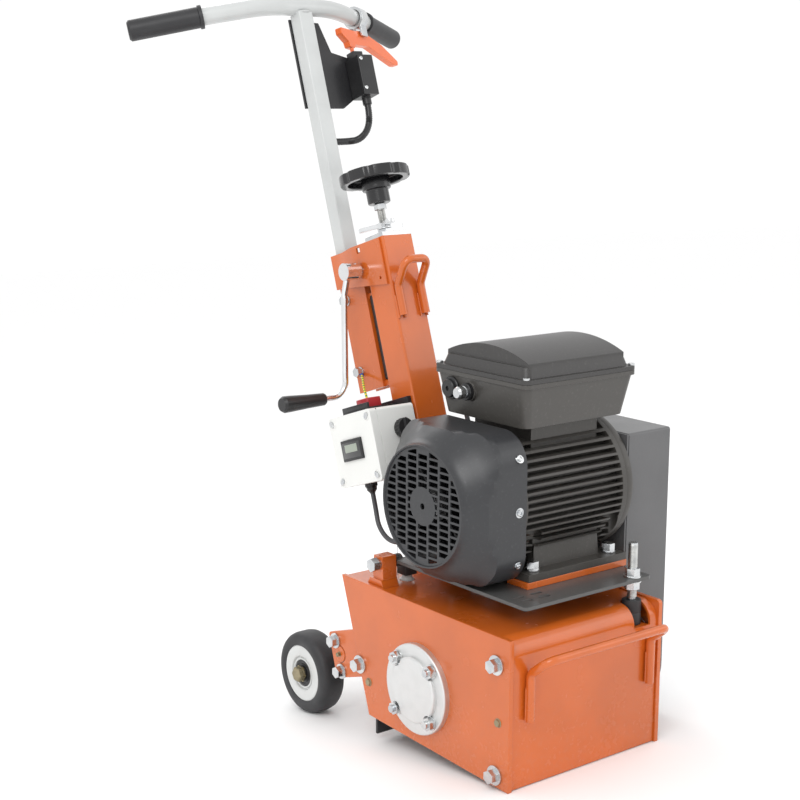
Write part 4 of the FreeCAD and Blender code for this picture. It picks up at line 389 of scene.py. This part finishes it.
# %% Sheet metal, castings and bars
for node, width, finish in (
        ("side_plate_left", 0.9, ORANGE), ("side_plate_right", 0.9, ORANGE),
        ("deck_cover", 0.6, ORANGE), ("deck_brackets", 0.9, ORANGE), ("column_tube", 0.5, ORANGE),
        ("handle_mount", 0.5, ORANGE), ("motor_rails", 0.8, ORANGE), ("rear_brackets", 0.8, ORANGE),
        ("chamber_rear_wall", 0.4, ORANGE), ("motor_plate", 0.6, PLATE_GREY_AS_PAINTED_SHADE),
        ("belt_guard", 0.7, GUARD_GREY), ("guard_back_plate", 0.4, GUARD_GREY),
        ("black_brackets", 0.4, BLACK_SHEET), ("terminal_box", 0.8, BOX_GREY),
        ("terminal_box_lid", 0.8, LID_GREY_AS_PAINTED_SHADE), ("motor_frame", 0.5, MOTOR_GREY),
        ("motor_end_shields", 0.8, MOTOR_GREY), ("lift_tube", 0.6, ZINC), ("lock_nut", 0.7, CHROME),
        ("lever_clamp", 0.4, ZINC), ("bearing_flanges", 0.0, FLANGE_WHITE),
        ("handwheel", 2.2, GLOSS_BLACK), ("fasteners", 0.5, ZINC), ("handle_post", 0.3, POST_SILVER),
        ("presence_lever", 1.0, ORANGE_PLASTIC), ("rear_skirt", 0.5, RUBBER),
        ("limit_switch", 0.8, BLACK_PLASTIC), ("control_box", 0.8, BOX_WHITE),
        ("control_box_lid", 0.8, BOX_WHITE), ("selector_knob", 0.8, BLACK_PLASTIC),
        ("wheel_crank", 0.6, TURNED), ("lift_link", 0.5, TURNED), ("drum", 0.5, TURNED),
        ("cutters", 0.4, HARD_STEEL), ("dust_spigot", 0.5, ZINC)):
    softened(node, width, finish)
print("softened pieces done")

# %% [markdown]
# Round bars, grips, bearings, pulleys, belts and the hidden pieces of the motor have no edge that
# needs work. They keep the mesh of the frame and only get a finish.

# %% Pieces that keep the frame's own shape
for node, finish in (
        ("cutter_pins", HARD_STEEL), ("bearings", TURNED), ("drum_pulley", PULLEY_IRON),
        ("motor_pulley", PULLEY_IRON), ("drive_belts", RUBBER), ("motor_rotor", TURNED),
        ("stator", COPPER), ("cooling_fan", BLACK_PLASTIC), ("lifting_handles", ORANGE),
        ("lift_lever", CHROME), ("lift_lever_grip", BLACK_PLASTIC), ("handlebar", POST_SILVER),
        ("grips", GRIP_RUBBER), ("switch_plunger", ORANGE_PLASTIC)):
    frame["nodes"][node].data.materials.clear()
    frame["nodes"][node].data.materials.append(finish)
    print("finished as it is:", node)

# %% [markdown]
# Wheels, caps, nuts and threads are turned pieces. Each is made as on a lathe, ring by ring: a
# circle is added, extruded along its axis and scaled to the next radius. The list of rings is the
# outline of the real piece, in millimetres, so a rounded shoulder only takes a few more pairs.
# The piece is modelled upright at the origin and its mesh is then put in its place.

# %% Turned pieces
def seat(matrix, place, axis):
    """Where an upright piece goes: its foot in millimetres, and the way it points."""
    return moved(matrix, *place) @ Vector(axis).to_track_quat("Z", "Y").to_matrix().to_4x4()


def turned(name, rings, place, body, finish, steps=48, angle=30):
    """A turned piece from (along, radius) pairs; it is a hollow ring if the last pair is the first."""
    nothing_selected()
    start, radius = rings[0]
    fill = "NOTHING" if rings[0] == rings[-1] else "NGON"
    bpy.ops.mesh.primitive_circle_add(vertices=steps, radius=radius * MM, fill_type=fill)
    piece = bpy.context.object
    piece.name = name
    bpy.ops.object.mode_set(mode="EDIT")
    bpy.ops.mesh.select_all(action="SELECT")
    for (along, radius), (next_along, next_radius) in zip(rings, rings[1:]):
        step = (0, 0, (next_along - along) * MM)
        bpy.ops.mesh.extrude_region_move(TRANSFORM_OT_translate={"value": step})
        grow = next_radius / radius
        bpy.ops.transform.resize(value=(grow, grow, 1))
    bpy.ops.mesh.select_all(action="SELECT")
    bpy.ops.mesh.remove_doubles(threshold=0.00001)
    bpy.ops.mesh.normals_make_consistent(inside=False)
    bpy.ops.object.mode_set(mode="OBJECT")
    piece.data.transform(place @ Matrix.Translation((0, 0, start * MM)))
    return finished(piece, body, finish, angle)


def joined(name, pieces):
    """One object out of several that ride the same body."""
    only(pieces[0])
    for piece in pieces:
        piece.select_set(True)
    bpy.ops.object.join()
    pieces[0].name = name
    return pieces[0]


print("lathe ready")

# %% [markdown]
# The wheels are solid rubber tyres with round shoulders on pale plastic hubs. A black seal covers
# each bearing, and a hexagon nut with a yellow zinc finish holds the wheel on its axle.

# %% Wheels
TYRE_RINGS = [(1.5, 42), (0.4, 45), (0, 50), (0.9, 54), (3, 57.4), (6.5, 59.7), (12, 60.9), (28, 60.9),
              (33.5, 59.7), (37, 57.4), (39.1, 54), (40, 50), (39.6, 45), (38.5, 42), (1.5, 42)]
HUB_RINGS = [(36, 9), (5, 9), (5, 20), (3.4, 20.4), (3.4, 22.4), (6, 23), (6, 25), (2.4, 26), (1.6, 28),
             (1.6, 40.6), (2.6, 42), (37.4, 42), (38.4, 40.6), (38.4, 24), (36.8, 22), (36, 9)]
SEAL_RINGS = [(4.2, 9), (3.6, 9.6), (3.6, 14), (4.5, 14.4), (4.5, 15.6), (3.6, 16), (3.6, 19), (4.2, 19.9),
              (6, 19.9), (6, 9), (4.2, 9)]
NUT_RINGS = [(-1.4, 11), (-1, 13), (0.8, 13), (0.8, 11.4), (8, 11.4), (9.6, 9.4)]
WHEEL_REACH = 0.1285
for side, label in ((-1, "left"), (1, "right")):
    outer = WHEELS @ Matrix.Translation((side * WHEEL_REACH, 0, 0))
    facing = outer @ Matrix.Rotation(math.radians(-90 * side), 4, "Y")
    body = BODY_OF["wheel_tyre_" + label]
    tyre = turned("tyre_" + label, TYRE_RINGS, facing, body, TYRE, 96)
    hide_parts("wheel_tyre_" + label)
    hub = turned("hub_" + label, HUB_RINGS, facing, body, HUB_WHITE, 72)
    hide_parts("wheel_hub_" + label)
    turned("seal_" + label, SEAL_RINGS, facing, body, BLACK_PLASTIC, 64)
    outward = outer @ Matrix.Rotation(math.radians(90 * side), 4, "Y")
    turned("axle_nut_" + label, NUT_RINGS, outward, BODY_OF["wheel_crank"], OLIVE, 6, 20)
print("tyre radius", round(max(radius for _, radius in TYRE_RINGS), 1), "mm")

# %% [markdown]
# The fan cowl is a pressed steel cup. Its mouth at the motor is a square with round corners, and
# its nose is a round grille. One set of rings makes the round nose, and each of its points is then
# drawn back to the rounded square where the rings grow past it. The end face is then taken off and
# the shell gets the thickness of its sheet.

# %% Fan cowl
COWL_FACE = Matrix.Translation((-0.150, 0, 0))
COWL_RINGS = [(2.4, 70), (2.4, 77.4), (0, 78.4), (0, 80.4), (2.6, 81.6), (6, 82.6), (12, 87.5), (20, 95),
              (28, 103), (36, 111), (44, 122), (52, 140), (92, 140)]
HALF, CORNER = 100, 44
MOUTH_LEVEL = 0.0919
SHEET_THICKNESS = 0.0022


def square_reach(angle):
    """How far the rounded square reaches in this direction, in millimetres."""
    across, up = abs(math.cos(angle)), abs(math.sin(angle))
    reach = HALF / max(across, up)
    middle = HALF - CORNER
    if min(across, up) * reach > middle:
        along = middle * (across + up)
        reach = along + math.sqrt(CORNER ** 2 - 2 * middle ** 2 + along ** 2)
    return reach


cowl = turned("cowl_shell", COWL_RINGS, Matrix(), BODY_OF["fan_cowl"], COWL_BLACK, 128)
for vertex in cowl.data.vertices:
    radius = math.hypot(vertex.co.x, vertex.co.y)
    limit = square_reach(math.atan2(vertex.co.y, vertex.co.x)) * MM
    if radius > limit:
        vertex.co.x *= limit / radius
        vertex.co.y *= limit / radius
only(cowl)
bpy.ops.object.mode_set(mode="EDIT")
bpy.ops.mesh.select_all(action="DESELECT")
bpy.ops.object.mode_set(mode="OBJECT")
for face in cowl.data.polygons:
    face.select = face.center.z > MOUTH_LEVEL
bpy.ops.object.mode_set(mode="EDIT")
bpy.ops.mesh.delete(type="FACE")
bpy.ops.object.mode_set(mode="OBJECT")
apply(cowl, "SOLIDIFY", thickness=SHEET_THICKNESS, offset=-1)
print("cowl shell:", len(cowl.data.polygons), "faces")

# %% [markdown]
# The grille's slots are laid out in seven columns, every other column shifted by half a step. The
# tool that cuts them is one small block, copied to every slot. It is first trimmed to the round
# mouth of the grille and to its solid middle, so that the outer slots end on a clean circle.

# %% Grille
COLUMN_STEP, ROW_STEP, GRILLE_REACH = 21.6, 9.3, 70
SLOT_SIZE = (0.0178, 0.0064, 0.012)


def disc(radius, depth, steps):
    """A plain cylinder at the origin, to cut with."""
    nothing_selected()
    bpy.ops.mesh.primitive_cylinder_add(vertices=steps, radius=radius, depth=depth)
    return bpy.context.object


slot_middles = []
for column in range(-3, 4):
    for row in range(-8, 9):
        x = COLUMN_STEP * column
        y = ROW_STEP * row + (ROW_STEP / 2 if column % 2 else 0)
        if math.hypot(max(abs(x) - 9, 0), max(abs(y) - 3, 0)) < GRILLE_REACH:
            slot_middles.append((x, y))
nothing_selected()
bpy.ops.mesh.primitive_cube_add(size=1, location=(0, 0, 0))
first_slot = bpy.context.object
bpy.ops.object.mode_set(mode="EDIT")
bpy.ops.transform.resize(value=SLOT_SIZE)
bpy.ops.object.mode_set(mode="OBJECT")
tools = []
for x, y in slot_middles:
    slot = first_slot.copy()
    slot.data = first_slot.data.copy()
    slot.data.transform(Matrix.Translation((x * MM, y * MM, 0.003)))
    bpy.context.scene.collection.objects.link(slot)
    tools.append(slot)
bpy.data.objects.remove(first_slot)
slots = joined("slot_tool", tools)
for trim, operation in ((disc(0.0745, 0.03, 96), "INTERSECT"), (disc(0.0255, 0.03, 64), "DIFFERENCE")):
    apply(slots, "BOOLEAN", operation=operation, object=trim, solver="EXACT")
    bpy.data.objects.remove(trim)
hole = disc(0.0042, 0.02, 24)
for cutter in (slots, hole):
    apply(cowl, "BOOLEAN", operation="DIFFERENCE", object=cutter, solver="EXACT")
    bpy.data.objects.remove(cutter)
nothing_selected()
TURN_NOSE = Matrix(((0, 0, 1, 0), (1, 0, 0, 0), (0, 1, 0, 0), (0, 0, 0, 1)))
cowl.data.transform(MOTOR_MIDDLE @ COWL_FACE @ TURN_NOSE)
finished(cowl, BODY_OF["fan_cowl"], COWL_BLACK, 28)
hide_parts("fan_cowl")
print("grille slots:", len(slot_middles))

# %% [markdown]
# Behind the grille there is only shade: the fan's black blades. The cowl is held by four zinc
# screws with washers near its mouth.

# %% Cowl screws
SCREW_RINGS = [(-0.5, 6.6), (0.8, 6.6), (0.9, 4.4), (2.6, 4.4), (3.4, 3.4), (3.4, 2.0), (2.2, 1.6)]
for index, (y, z) in enumerate(((-1, 0.72), (-1, -0.72), (1, 0), (-1, 0))):
    direction = Vector((0, y, z)).normalized()
    reach = square_reach(math.atan2(direction.z, direction.y))
    foot = (-70, 160 + direction.y * (reach - 0.4), 340 + direction.z * (reach - 0.4))
    normal = (0, direction.y, direction.z)
    turned(f"cowl_screw_{index}", SCREW_RINGS, seat(HOUSING, foot, normal), BODY_OF["fan_cowl"], ZINC, 24)
print("cowl screws: 4")

# %% [markdown]
# The terminal box has a blanked entry with a slotted black plug and a small zinc cap on a black
# gland nut. A third gland takes the motor cable at the rear, and two more hang under the control
# box. All are turned, and where a spanner goes the circle has only twelve steps.

# %% Plugs and glands
HOUSED = BODY_OF["cable_glands"]
PLUG_RINGS = [(-1, 15.6), (1.4, 15.6), (2.6, 14.6), (3, 12.8), (6.4, 12.4), (7.6, 11.2), (7.6, 3.2),
              (5.2, 2.6)]
plug = turned("blanking_plug", PLUG_RINGS, seat(HOUSING, (-52, 218, 476), (-1, 0, 0)), HOUSED,
              BLACK_PLASTIC, 48)
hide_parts("cable_glands")
NUT_SEAT = seat(HOUSING, (-52, 184, 476), (-1, 0, 0))
turned("gland_nut", [(-1, 11), (0.4, 12), (5, 12), (6.4, 11)], NUT_SEAT, HOUSED, BLACK_PLASTIC, 12, 20)
CAP_RINGS = [(5, 7.4), (5.4, 8.2), (8, 8.2), (8.6, 7.2), (10, 7.2), (10.6, 8.4), (18, 8.4), (20.5, 6.6),
             (20.8, 3)]
turned("gland_cap", CAP_RINGS, NUT_SEAT, HOUSED, ZINC, 24, 25)
GLAND_RINGS = [(-1, 10.6), (5.6, 10.6), (6.2, 9.4), (7, 9.4), (7.4, 9), (12, 8.4), (14, 6.8), (16, 5.2),
               (18, 4.4)]
GLANDS = (("cable_entry", seat(HOUSING, (60, 251, 472), (0, 1, 0))),
          ("box_gland", seat(COLUMN, (-80, 66, -78), (0, 0, -1))),
          ("spare_gland", seat(COLUMN, (-64, 38, -78), (0, 0, -1))))
for label, place in GLANDS:
    turned(label, [(along * 0.8, radius * 0.86) for along, radius in GLAND_RINGS], place, HOUSED,
           BLACK_PLASTIC, 12, 20)
print("glands:", len(GLANDS) + 2)

# %% [markdown]
# The depth spindle and the stud of the belt adjuster carry real threads. At this size a thread is
# a row of fine rings, so the lathe cuts a crest and a root for each turn.

# %% Threads
def thread(low, high, radius, pitch, depth=0.8):
    """The rings of a threaded rod between two heights, in millimetres."""
    turns = int((high - low) / pitch)
    rings = [(low, radius - depth)]
    for turn in range(turns):
        rings += [(low + pitch * (turn + 0.5), radius), (low + pitch * (turn + 1), radius - depth)]
    return rings


SPINDLE = BODY_OF["depth_spindle"]
SPINDLE_SEAT = seat(COLUMN, (0, 26, 0), (0, 0, 1))
spindle = turned("threaded_spindle", [(150, 5.4)] + thread(262, 304, 6, 2.0) + [(305, 5.2), (357, 5.2)],
                 SPINDLE_SEAT, SPINDLE, STUD_ZINC, 24, 50)
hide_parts("depth_spindle")
turned("spindle_nut", [(304.6, 7.6), (305.4, 9.1), (312.6, 9.1), (313.6, 7.8)], SPINDLE_SEAT, SPINDLE, ZINC,
       6, 20)
ADJUSTER = seat(HOUSING, (101.5, 24, 0), (0, 0, 1))
turned("adjuster_thread", thread(205, 226, 6.6, 1.75) + [(227, 5.8)], ADJUSTER, BODY_OF["fasteners"],
       STUD_ZINC, 24, 50)
turned("adjuster_thread_end", thread(246, 279, 6.6, 1.75) + [(280, 5)], ADJUSTER, BODY_OF["fasteners"],
       STUD_ZINC, 24, 50)
print("threads cut on the spindle and the adjuster stud")

# %% [markdown]
# A cable is drawn as a smooth curve through the points of its route and given its thickness. The
# same helper draws weld beads: there the radius swells and shrinks from point to point, like the
# ripples of a bead.

# %% Strands
def strand(name, points, radius, place, body, finish, ripple=0.0, pitch=None):
    """A round strand through points in millimetres, rippled every pitch millimetres if asked."""
    curve = bpy.data.curves.new(name, "CURVE")
    curve.dimensions = "3D"
    curve.bevel_depth = radius * MM
    curve.bevel_resolution = 5
    curve.use_fill_caps = True
    if ripple:
        lengths = [(Vector(b) - Vector(a)).length for a, b in zip(points, points[1:])]
        dense = [Vector(points[0])]
        for a, b, length in zip(points, points[1:], lengths):
            steps = max(2, round(length / pitch) * 2)
            dense += [Vector(a).lerp(Vector(b), k / steps) for k in range(1, steps + 1)]
        spline = curve.splines.new("POLY")
        spline.points.add(len(dense) - 1)
        for index, spot in enumerate(dense):
            spline.points[index].co = (*(spot * MM), 1)
            spline.points[index].radius = 1 - ripple * (index % 2)
    else:
        curve.resolution_u = 10
        spline = curve.splines.new("NURBS")
        spline.points.add(len(points) - 1)
        for index, spot in enumerate(points):
            spline.points[index].co = (*(Vector(spot) * MM), 1)
        spline.order_u = 3
        spline.use_endpoint_u = True
    piece = bpy.data.objects.new(name, curve)
    bpy.context.scene.collection.objects.link(piece)
    only(piece)
    bpy.ops.object.convert(target="MESH")
    piece = bpy.context.object
    piece.data.transform(place)
    return finished(piece, body, finish, 60)


def along_curve(points, step):
    """Evenly spaced points on the smooth curve that a strand would follow."""
    corners = [Vector(point) for point in points]
    middles = [corners[0]] + [(a + b) / 2 for a, b in zip(corners[1:], corners[2:-1])] + [corners[-1]]
    dense = []
    for start, corner, end in zip(middles, corners[1:], middles[1:]):
        count = max(2, round((end - start).length / step))
        for k in range(count):
            part = k / count
            dense.append(start * (1 - part) ** 2 + corner * 2 * part * (1 - part) + end * part ** 2)
    return dense + [corners[-1]]


print("strand helpers ready")

# %% [markdown]
# The motor lead hangs from the gland of the control box and goes round the column to the terminal
# box. Its first points belong to the leaning column, so they are turned into the housing's own
# measure. The switch conduit is corrugated.

# %% Motor lead and switch conduit
LEAN = HOUSING.inverted() @ COLUMN


def in_housing(x, w, u):
    """A point of the column, as the housing sees it."""
    return tuple(LEAN @ (Vector((x, w, u)) * MM) / MM)


MOTOR_ROUTE = [in_housing(-80, 66, -92), in_housing(-80, 66, -114), (-82, 339, 262), (-83, 313, 247),
               (-82, 284, 252), (-78, 269, 278), (-66, 268, 308), (-42, 269, 326), (-12, 271, 334),
               (18, 275, 342), (44, 284, 356), (58, 298, 378), (60, 315, 402), (60, 324, 429),
               (60, 315, 455.5), (60, 292.5, 472), (60, 267, 472)]
motor_cable = strand("motor_lead", MOTOR_ROUTE, 3.5, HOUSING, BODY_OF["motor_cable"], CABLE_GREY)
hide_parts("motor_cable")
SWITCH_ROUTE = [(88.2, 121, 494), (88.2, 121, 474), (80, 122.5, 452), (62, 124.5, 438), (38, 125.5, 436),
                (12.7, 125.5, 436)]
CORRUGATION = 3.0
conduit = strand("switch_conduit", along_curve(SWITCH_ROUTE, CORRUGATION), 5.4, COLUMN,
                 BODY_OF["switch_cable"], CABLE_BLACK, ripple=0.16, pitch=CORRUGATION)
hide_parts("switch_cable")
print("strands: motor lead and switch conduit")

# %% [markdown]
# Tubes and legs are welded on, and each weld leaves a rippled bead under the coat. The beads follow
# the legs of the lifting loop and of the front handle, and one goes round the joint of post and bar.

# %% Weld beads
def ring_bead(name, place, middle, radius, thick, finish, body, count=20):
    """A bead around a round bar, in a plane across it."""
    spots = []
    for k in range(count + 1):
        turn = 2 * math.pi * k / count
        spots.append((middle[0] + radius * math.cos(turn), middle[1] + radius * math.sin(turn), middle[2]))
    strand(name, spots, thick, place, body, finish, ripple=0.2, pitch=1.6)


def leg_beads(name, x, foot, levels, thick, place, body):
    """A bead down each side of a flat-lying leg; the names end in l or r, then a or b."""
    for drift, end in ((-1, "a"), (1, "b")):
        spots = [(x + drift * LEG_HALF, foot, level) for level in levels]
        label = name + ("r" if x > 0 else "l") + end
        strand(label, spots, thick, place, body, ORANGE, ripple=0.25, pitch=3)


LEG_HALF = 5.2
COLUMN_BODY = BODY_OF["column_tube"]
for x in (-20, 20):
    leg_beads("loop_weld_", x, -1.2, range(142, 176, 3), 1.9, COLUMN, COLUMN_BODY)
ring_bead("bar_weld", seat(COLUMN, (0, 125.5, 634), (0, 0, 1)), (0, 0, 0.5), 13.2, 2.0, POST_SILVER,
          BODY_OF["handle_post"])
for x in (-104, 112):
    leg_beads("handle_weld_", x, -0.6, range(92, 136, 3), 1.6, HOUSING, BODY_OF["deck_cover"])
print("weld beads done")

# %% [markdown]
# The earth wire leaves the lower bolt of the channel through a blue crimp sleeve and runs down to a
# red connector on a small black tray over the control box. Between the channel and the column a
# black block fills the slot: painted shade for the shadow inside it.

# %% Earth wire, connector and painted shade in the slot
def block(name, low, high, place, body, finish, edge=0.6):
    """A rounded block between two corners in millimetres."""
    nothing_selected()
    bpy.ops.mesh.primitive_cube_add(size=1)
    piece = bpy.context.object
    piece.name = name
    size = [(b - a) * MM for a, b in zip(low, high)]
    middle = [(a + b) / 2 * MM for a, b in zip(low, high)]
    bpy.ops.object.mode_set(mode="EDIT")
    bpy.ops.transform.resize(value=size)
    bpy.ops.mesh.bevel(offset=edge * MM, segments=3)
    bpy.ops.object.mode_set(mode="OBJECT")
    piece.data.transform(place @ Matrix.Translation(middle))
    return finished(piece, body, finish, 40)


EARTH = Shader("earth wire jacket")
stripe = EARTH.node("ShaderNodeTexWave", {"bands_direction": "DIAGONAL"},
                    {"Vector": EARTH.place, "Scale": 60})
striped = EARTH.mix(EARTH.ramp(stripe, 0.55, 0.62), (0.85, 0.62, 0.02), (0.05, 0.32, 0.06))
EARTH.set(Base_Color=striped, Roughness=0.4)
WIRE_ROUTE = [(-21, 120, 82), (-25, 113, 78), (-33, 103, 68), (-41, 93, 58), (-46, 84, 50), (-50, 78, 40)]
strand("earth_wire", WIRE_ROUTE, 1.7, COLUMN, COLUMN_BODY, EARTH.material)
strand("crimp_sleeve", [(-19.5, 123.5, 84.5), (-20.2, 121.5, 83), (-22.5, 116.5, 80)], 2.5, COLUMN,
       COLUMN_BODY, BLUE_PLASTIC)
block("connector_tray", (-84, 34, 23), (-34, 96, 27), COLUMN, COLUMN_BODY, BLACK_SHEET)
block("connector_end", (-84, 34, 27), (-80, 96, 34), COLUMN, COLUMN_BODY, BLACK_SHEET)
block("red_connector", (-66, 56, 28), (-42, 84, 42), COLUMN, COLUMN_BODY, RED_PLASTIC, 1.4)
# A black block fills the slot: painted shade for the shadow inside it, not a real part.
block("painted_shade_in_slot", (-13, 54, 66), (13, 76, 190), COLUMN, COLUMN_BODY, BLACK_PLASTIC, 2)
print("small electrics done")

# %% [markdown]
# The pale control box closes with four screws that sit in shallow cups. Its hour meter has a dark
# glossy face around a pale display, and the selector is a ribbed black knob with a raised bar.

# %% Control box details
CUP_RINGS = [(-0.4, 6.2), (0.5, 6.2), (0.9, 5.4), (0.9, 4.6), (0.2, 4.3), (0.2, 3.9), (1.0, 3.3), (1.3, 1.8)]
BOX_BODY = BODY_OF["control_box_lid"]
for w in (6, 88):
    for u in (-68, 12):
        cup = seat(COLUMN, (-110, w, u), (-1, 0, 0))
        turned(f"lid_cup_{w}_{u + 68}", CUP_RINGS, cup, BOX_BODY, BOX_WHITE, 32)
        turned(f"lid_screw_{w}_{u + 68}", [(0.4, 3.6), (1.6, 3.6), (2.3, 2.8), (2.4, 1.2), (1.4, 0.9)], cup,
               BOX_BODY, ZINC, 24)
bezel = block("meter_bezel", (-113.2, 26.2, -42.8), (-109.6, 74, -13.2), COLUMN, BODY_OF["hour_meter"],
              BLACK_PLASTIC, 0.8)
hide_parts("hour_meter")
block("meter_face", (-113.6, 29, -39), (-112.8, 71.2, -17), COLUMN, BODY_OF["hour_meter"], DARK_WINDOW, 0.3)
block("meter_display", (-113.9, 36, -31), (-113.2, 65, -20), COLUMN, BODY_OF["hour_meter"], LCD, 0.2)
block("lid_seam", (-98.6, -3.2, -77.2), (-97.4, 97.2, 21.2), COLUMN, BOX_BODY, RUBBER, 0.4)
knob_seat = seat(COLUMN, (-62, -4, -12), (0, -1, 0))
KNOB_RIBS, KNOB_RADIUS = 18, 0.0128
for index in range(KNOB_RIBS):
    turn = 2 * math.pi * index / KNOB_RIBS
    spot = Matrix.Translation((KNOB_RADIUS * math.cos(turn), KNOB_RADIUS * math.sin(turn), 0))
    turned(f"knob_rib_{index}", [(1.5, 0.5), (2, 0.9), (11, 0.9), (12, 0.5)], knob_seat @ spot,
           BODY_OF["selector_knob"], BLACK_PLASTIC, 8, 60)
print("control box dressed")

# %% [markdown]
# The limit switch has a low ribbed rubber seal around its plunger, which stays under the lever at
# its full stroke, and its cover is held by two small screws. The cross shaft is greased through a
# nipple in a cap on each side, and the tie rods end in small caps. Rubber pads stand on the deck.

# %% Switch seal, nipples, caps and pads
boot_place = seat(COLUMN, (88.2, 133, 577), (0, 0, 1))
BOOT_RINGS = [(-0.5, 7.6), (0.4, 7.6), (0.6, 5.6), (0.9, 6.4), (1.2, 5.2), (1.5, 4.8)]
turned("plunger_boot", BOOT_RINGS, boot_place, BODY_OF["limit_switch"], RUBBER, 32, 60)
for u in (514, 560):
    turned(f"switch_screw_{u}", [(-0.4, 3), (1, 3), (1.6, 2.4), (1.7, 1.2), (1.1, 0.9)],
           seat(COLUMN, (79, 104, u), (0, -1, 0)), BODY_OF["limit_switch"], ZINC, 20)
NIPPLE_RINGS = [(-0.5, 4), (1.5, 4), (1.8, 2.6), (4, 2.6), (5, 3.2), (6, 2.4), (6.6, 1.4)]
for side in (-1, 1):
    shaft_end = seat(HOUSING, (side * 129.5, 367, 76.4), (side, 0, 0))
    turned(f"pivot_cap_{side + 1}", [(-0.6, 12), (0.5, 12), (1.1, 11.2), (1.2, 4)], shaft_end,
           BODY_OF["rear_brackets"], ORANGE, 40)
    turned(f"grease_nipple_{side + 1}", NIPPLE_RINGS, shaft_end, BODY_OF["rear_brackets"], OLIVE, 12)
for y, z in ((288.9, 59.8), (20.3, 88)):
    for side in (-1, 1):
        turned(f"rod_end_{side + 1}_{round(y)}", [(-0.4, 6), (0.3, 6), (0.9, 5), (2.8, 4.6), (3.4, 3.6)],
               seat(HOUSING, (side * 136.5, y, z), (side, 0, 0)), BODY_OF["fasteners"], OLIVE, 24)
stop_rubber = block("stop_rubber", (-84, 274, 206), (-64, 294, 227.5), HOUSING, BODY_OF["rubber_buffers"],
                    RUBBER, 1.2)
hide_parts("rubber_buffers")
turned("stop_foot", [(198, 10.5), (199, 10.5), (200.5, 8), (206.4, 5.6)],
       seat(HOUSING, (-74, 284, 0), (0, 0, 1)), BODY_OF["rubber_buffers"], HUB_WHITE, 32)
BUFFER_RINGS = [(168.6, 6.2), (168.6, 12.4), (169.4, 13), (183, 13), (185, 12.2), (187, 13), (201.2, 13),
                (201.9, 12.4), (201.9, 6.2), (168.6, 6.2)]
turned("buffer_ring", BUFFER_RINGS, ADJUSTER, BODY_OF["rubber_buffers"], RUBBER, 40)
print("small fittings done")

# %% [markdown]
# The studio is a pale floor that meets a white world, lit by one large soft lamp from the front
# left, a weaker one from the right, and a third from above and behind that draws the edges.

# %% Floor, lights and camera
bpy.ops.mesh.primitive_plane_add(size=60, location=(0, 0, 0))
floor = bpy.context.object
floor.name = "floor"
FLOOR = Shader("studio floor")
FLOOR.set(Base_Color=(0.97, 0.97, 0.97), Roughness=0.9)
floor.data.materials.append(FLOOR.material)

world = bpy.data.worlds.new("studio")
bpy.context.scene.world = world
world.use_nodes = True
world.node_tree.nodes["Background"].inputs["Color"].default_value = (1, 1, 1, 1)
world.node_tree.nodes["Background"].inputs["Strength"].default_value = 1.03


def lamp(name, place, target, size, power):
    """A square area light aimed at a point."""
    data = bpy.data.lights.new(name, "AREA")
    data.size = size
    data.energy = power
    made = bpy.data.objects.new(name, data)
    bpy.context.scene.collection.objects.link(made)
    made.location = place
    made.rotation_euler = (Vector(target) - Vector(place)).to_track_quat("-Z", "Y").to_euler()


MIDDLE = (cad_box[0] + cad_box[1]) / 2
lamp("key", (-1.9, -1.6, 2.4), MIDDLE, 1.4, 28)
lamp("fill", (2.2, -1.8, 1.4), MIDDLE, 1.6, 8)
lamp("rim", (0.6, 2.2, 2.3), MIDDLE, 1.6, 14)

camera_data = bpy.data.cameras.new("camera")
LENS, SENSOR = 70.44, 36
camera_data.lens = LENS
camera_data.sensor_width = SENSOR
camera = bpy.data.objects.new("camera", camera_data)
bpy.context.scene.collection.objects.link(camera)
bpy.context.scene.camera = camera
VIEWPOINT = HOUSING @ (Vector((-1373.15, -1356.52, 855.73)) * MM)
TURN, TILT, ROLL = math.radians(-38.084), math.radians(10.929), math.radians(0.209)
ahead = Vector((-math.sin(TURN) * math.cos(TILT), math.cos(TURN) * math.cos(TILT), -math.sin(TILT)))
aim = HOUSING.to_3x3() @ ahead
right = HOUSING.to_3x3() @ Vector((math.cos(TURN), math.sin(TURN), 0))
above = right.cross(aim)
level = Matrix((right, above, -aim)).transposed()
camera.matrix_world = Matrix.Translation(VIEWPOINT) @ (level @ Matrix.Rotation(ROLL, 3, "Z")).to_4x4()
bpy.context.scene.view_settings.view_transform = "Standard"
print("camera at", [round(value, 3) for value in VIEWPOINT])

# %% [markdown]
# The last step goes back to object mode with nothing selected.

# %% Last step
nothing_selected()
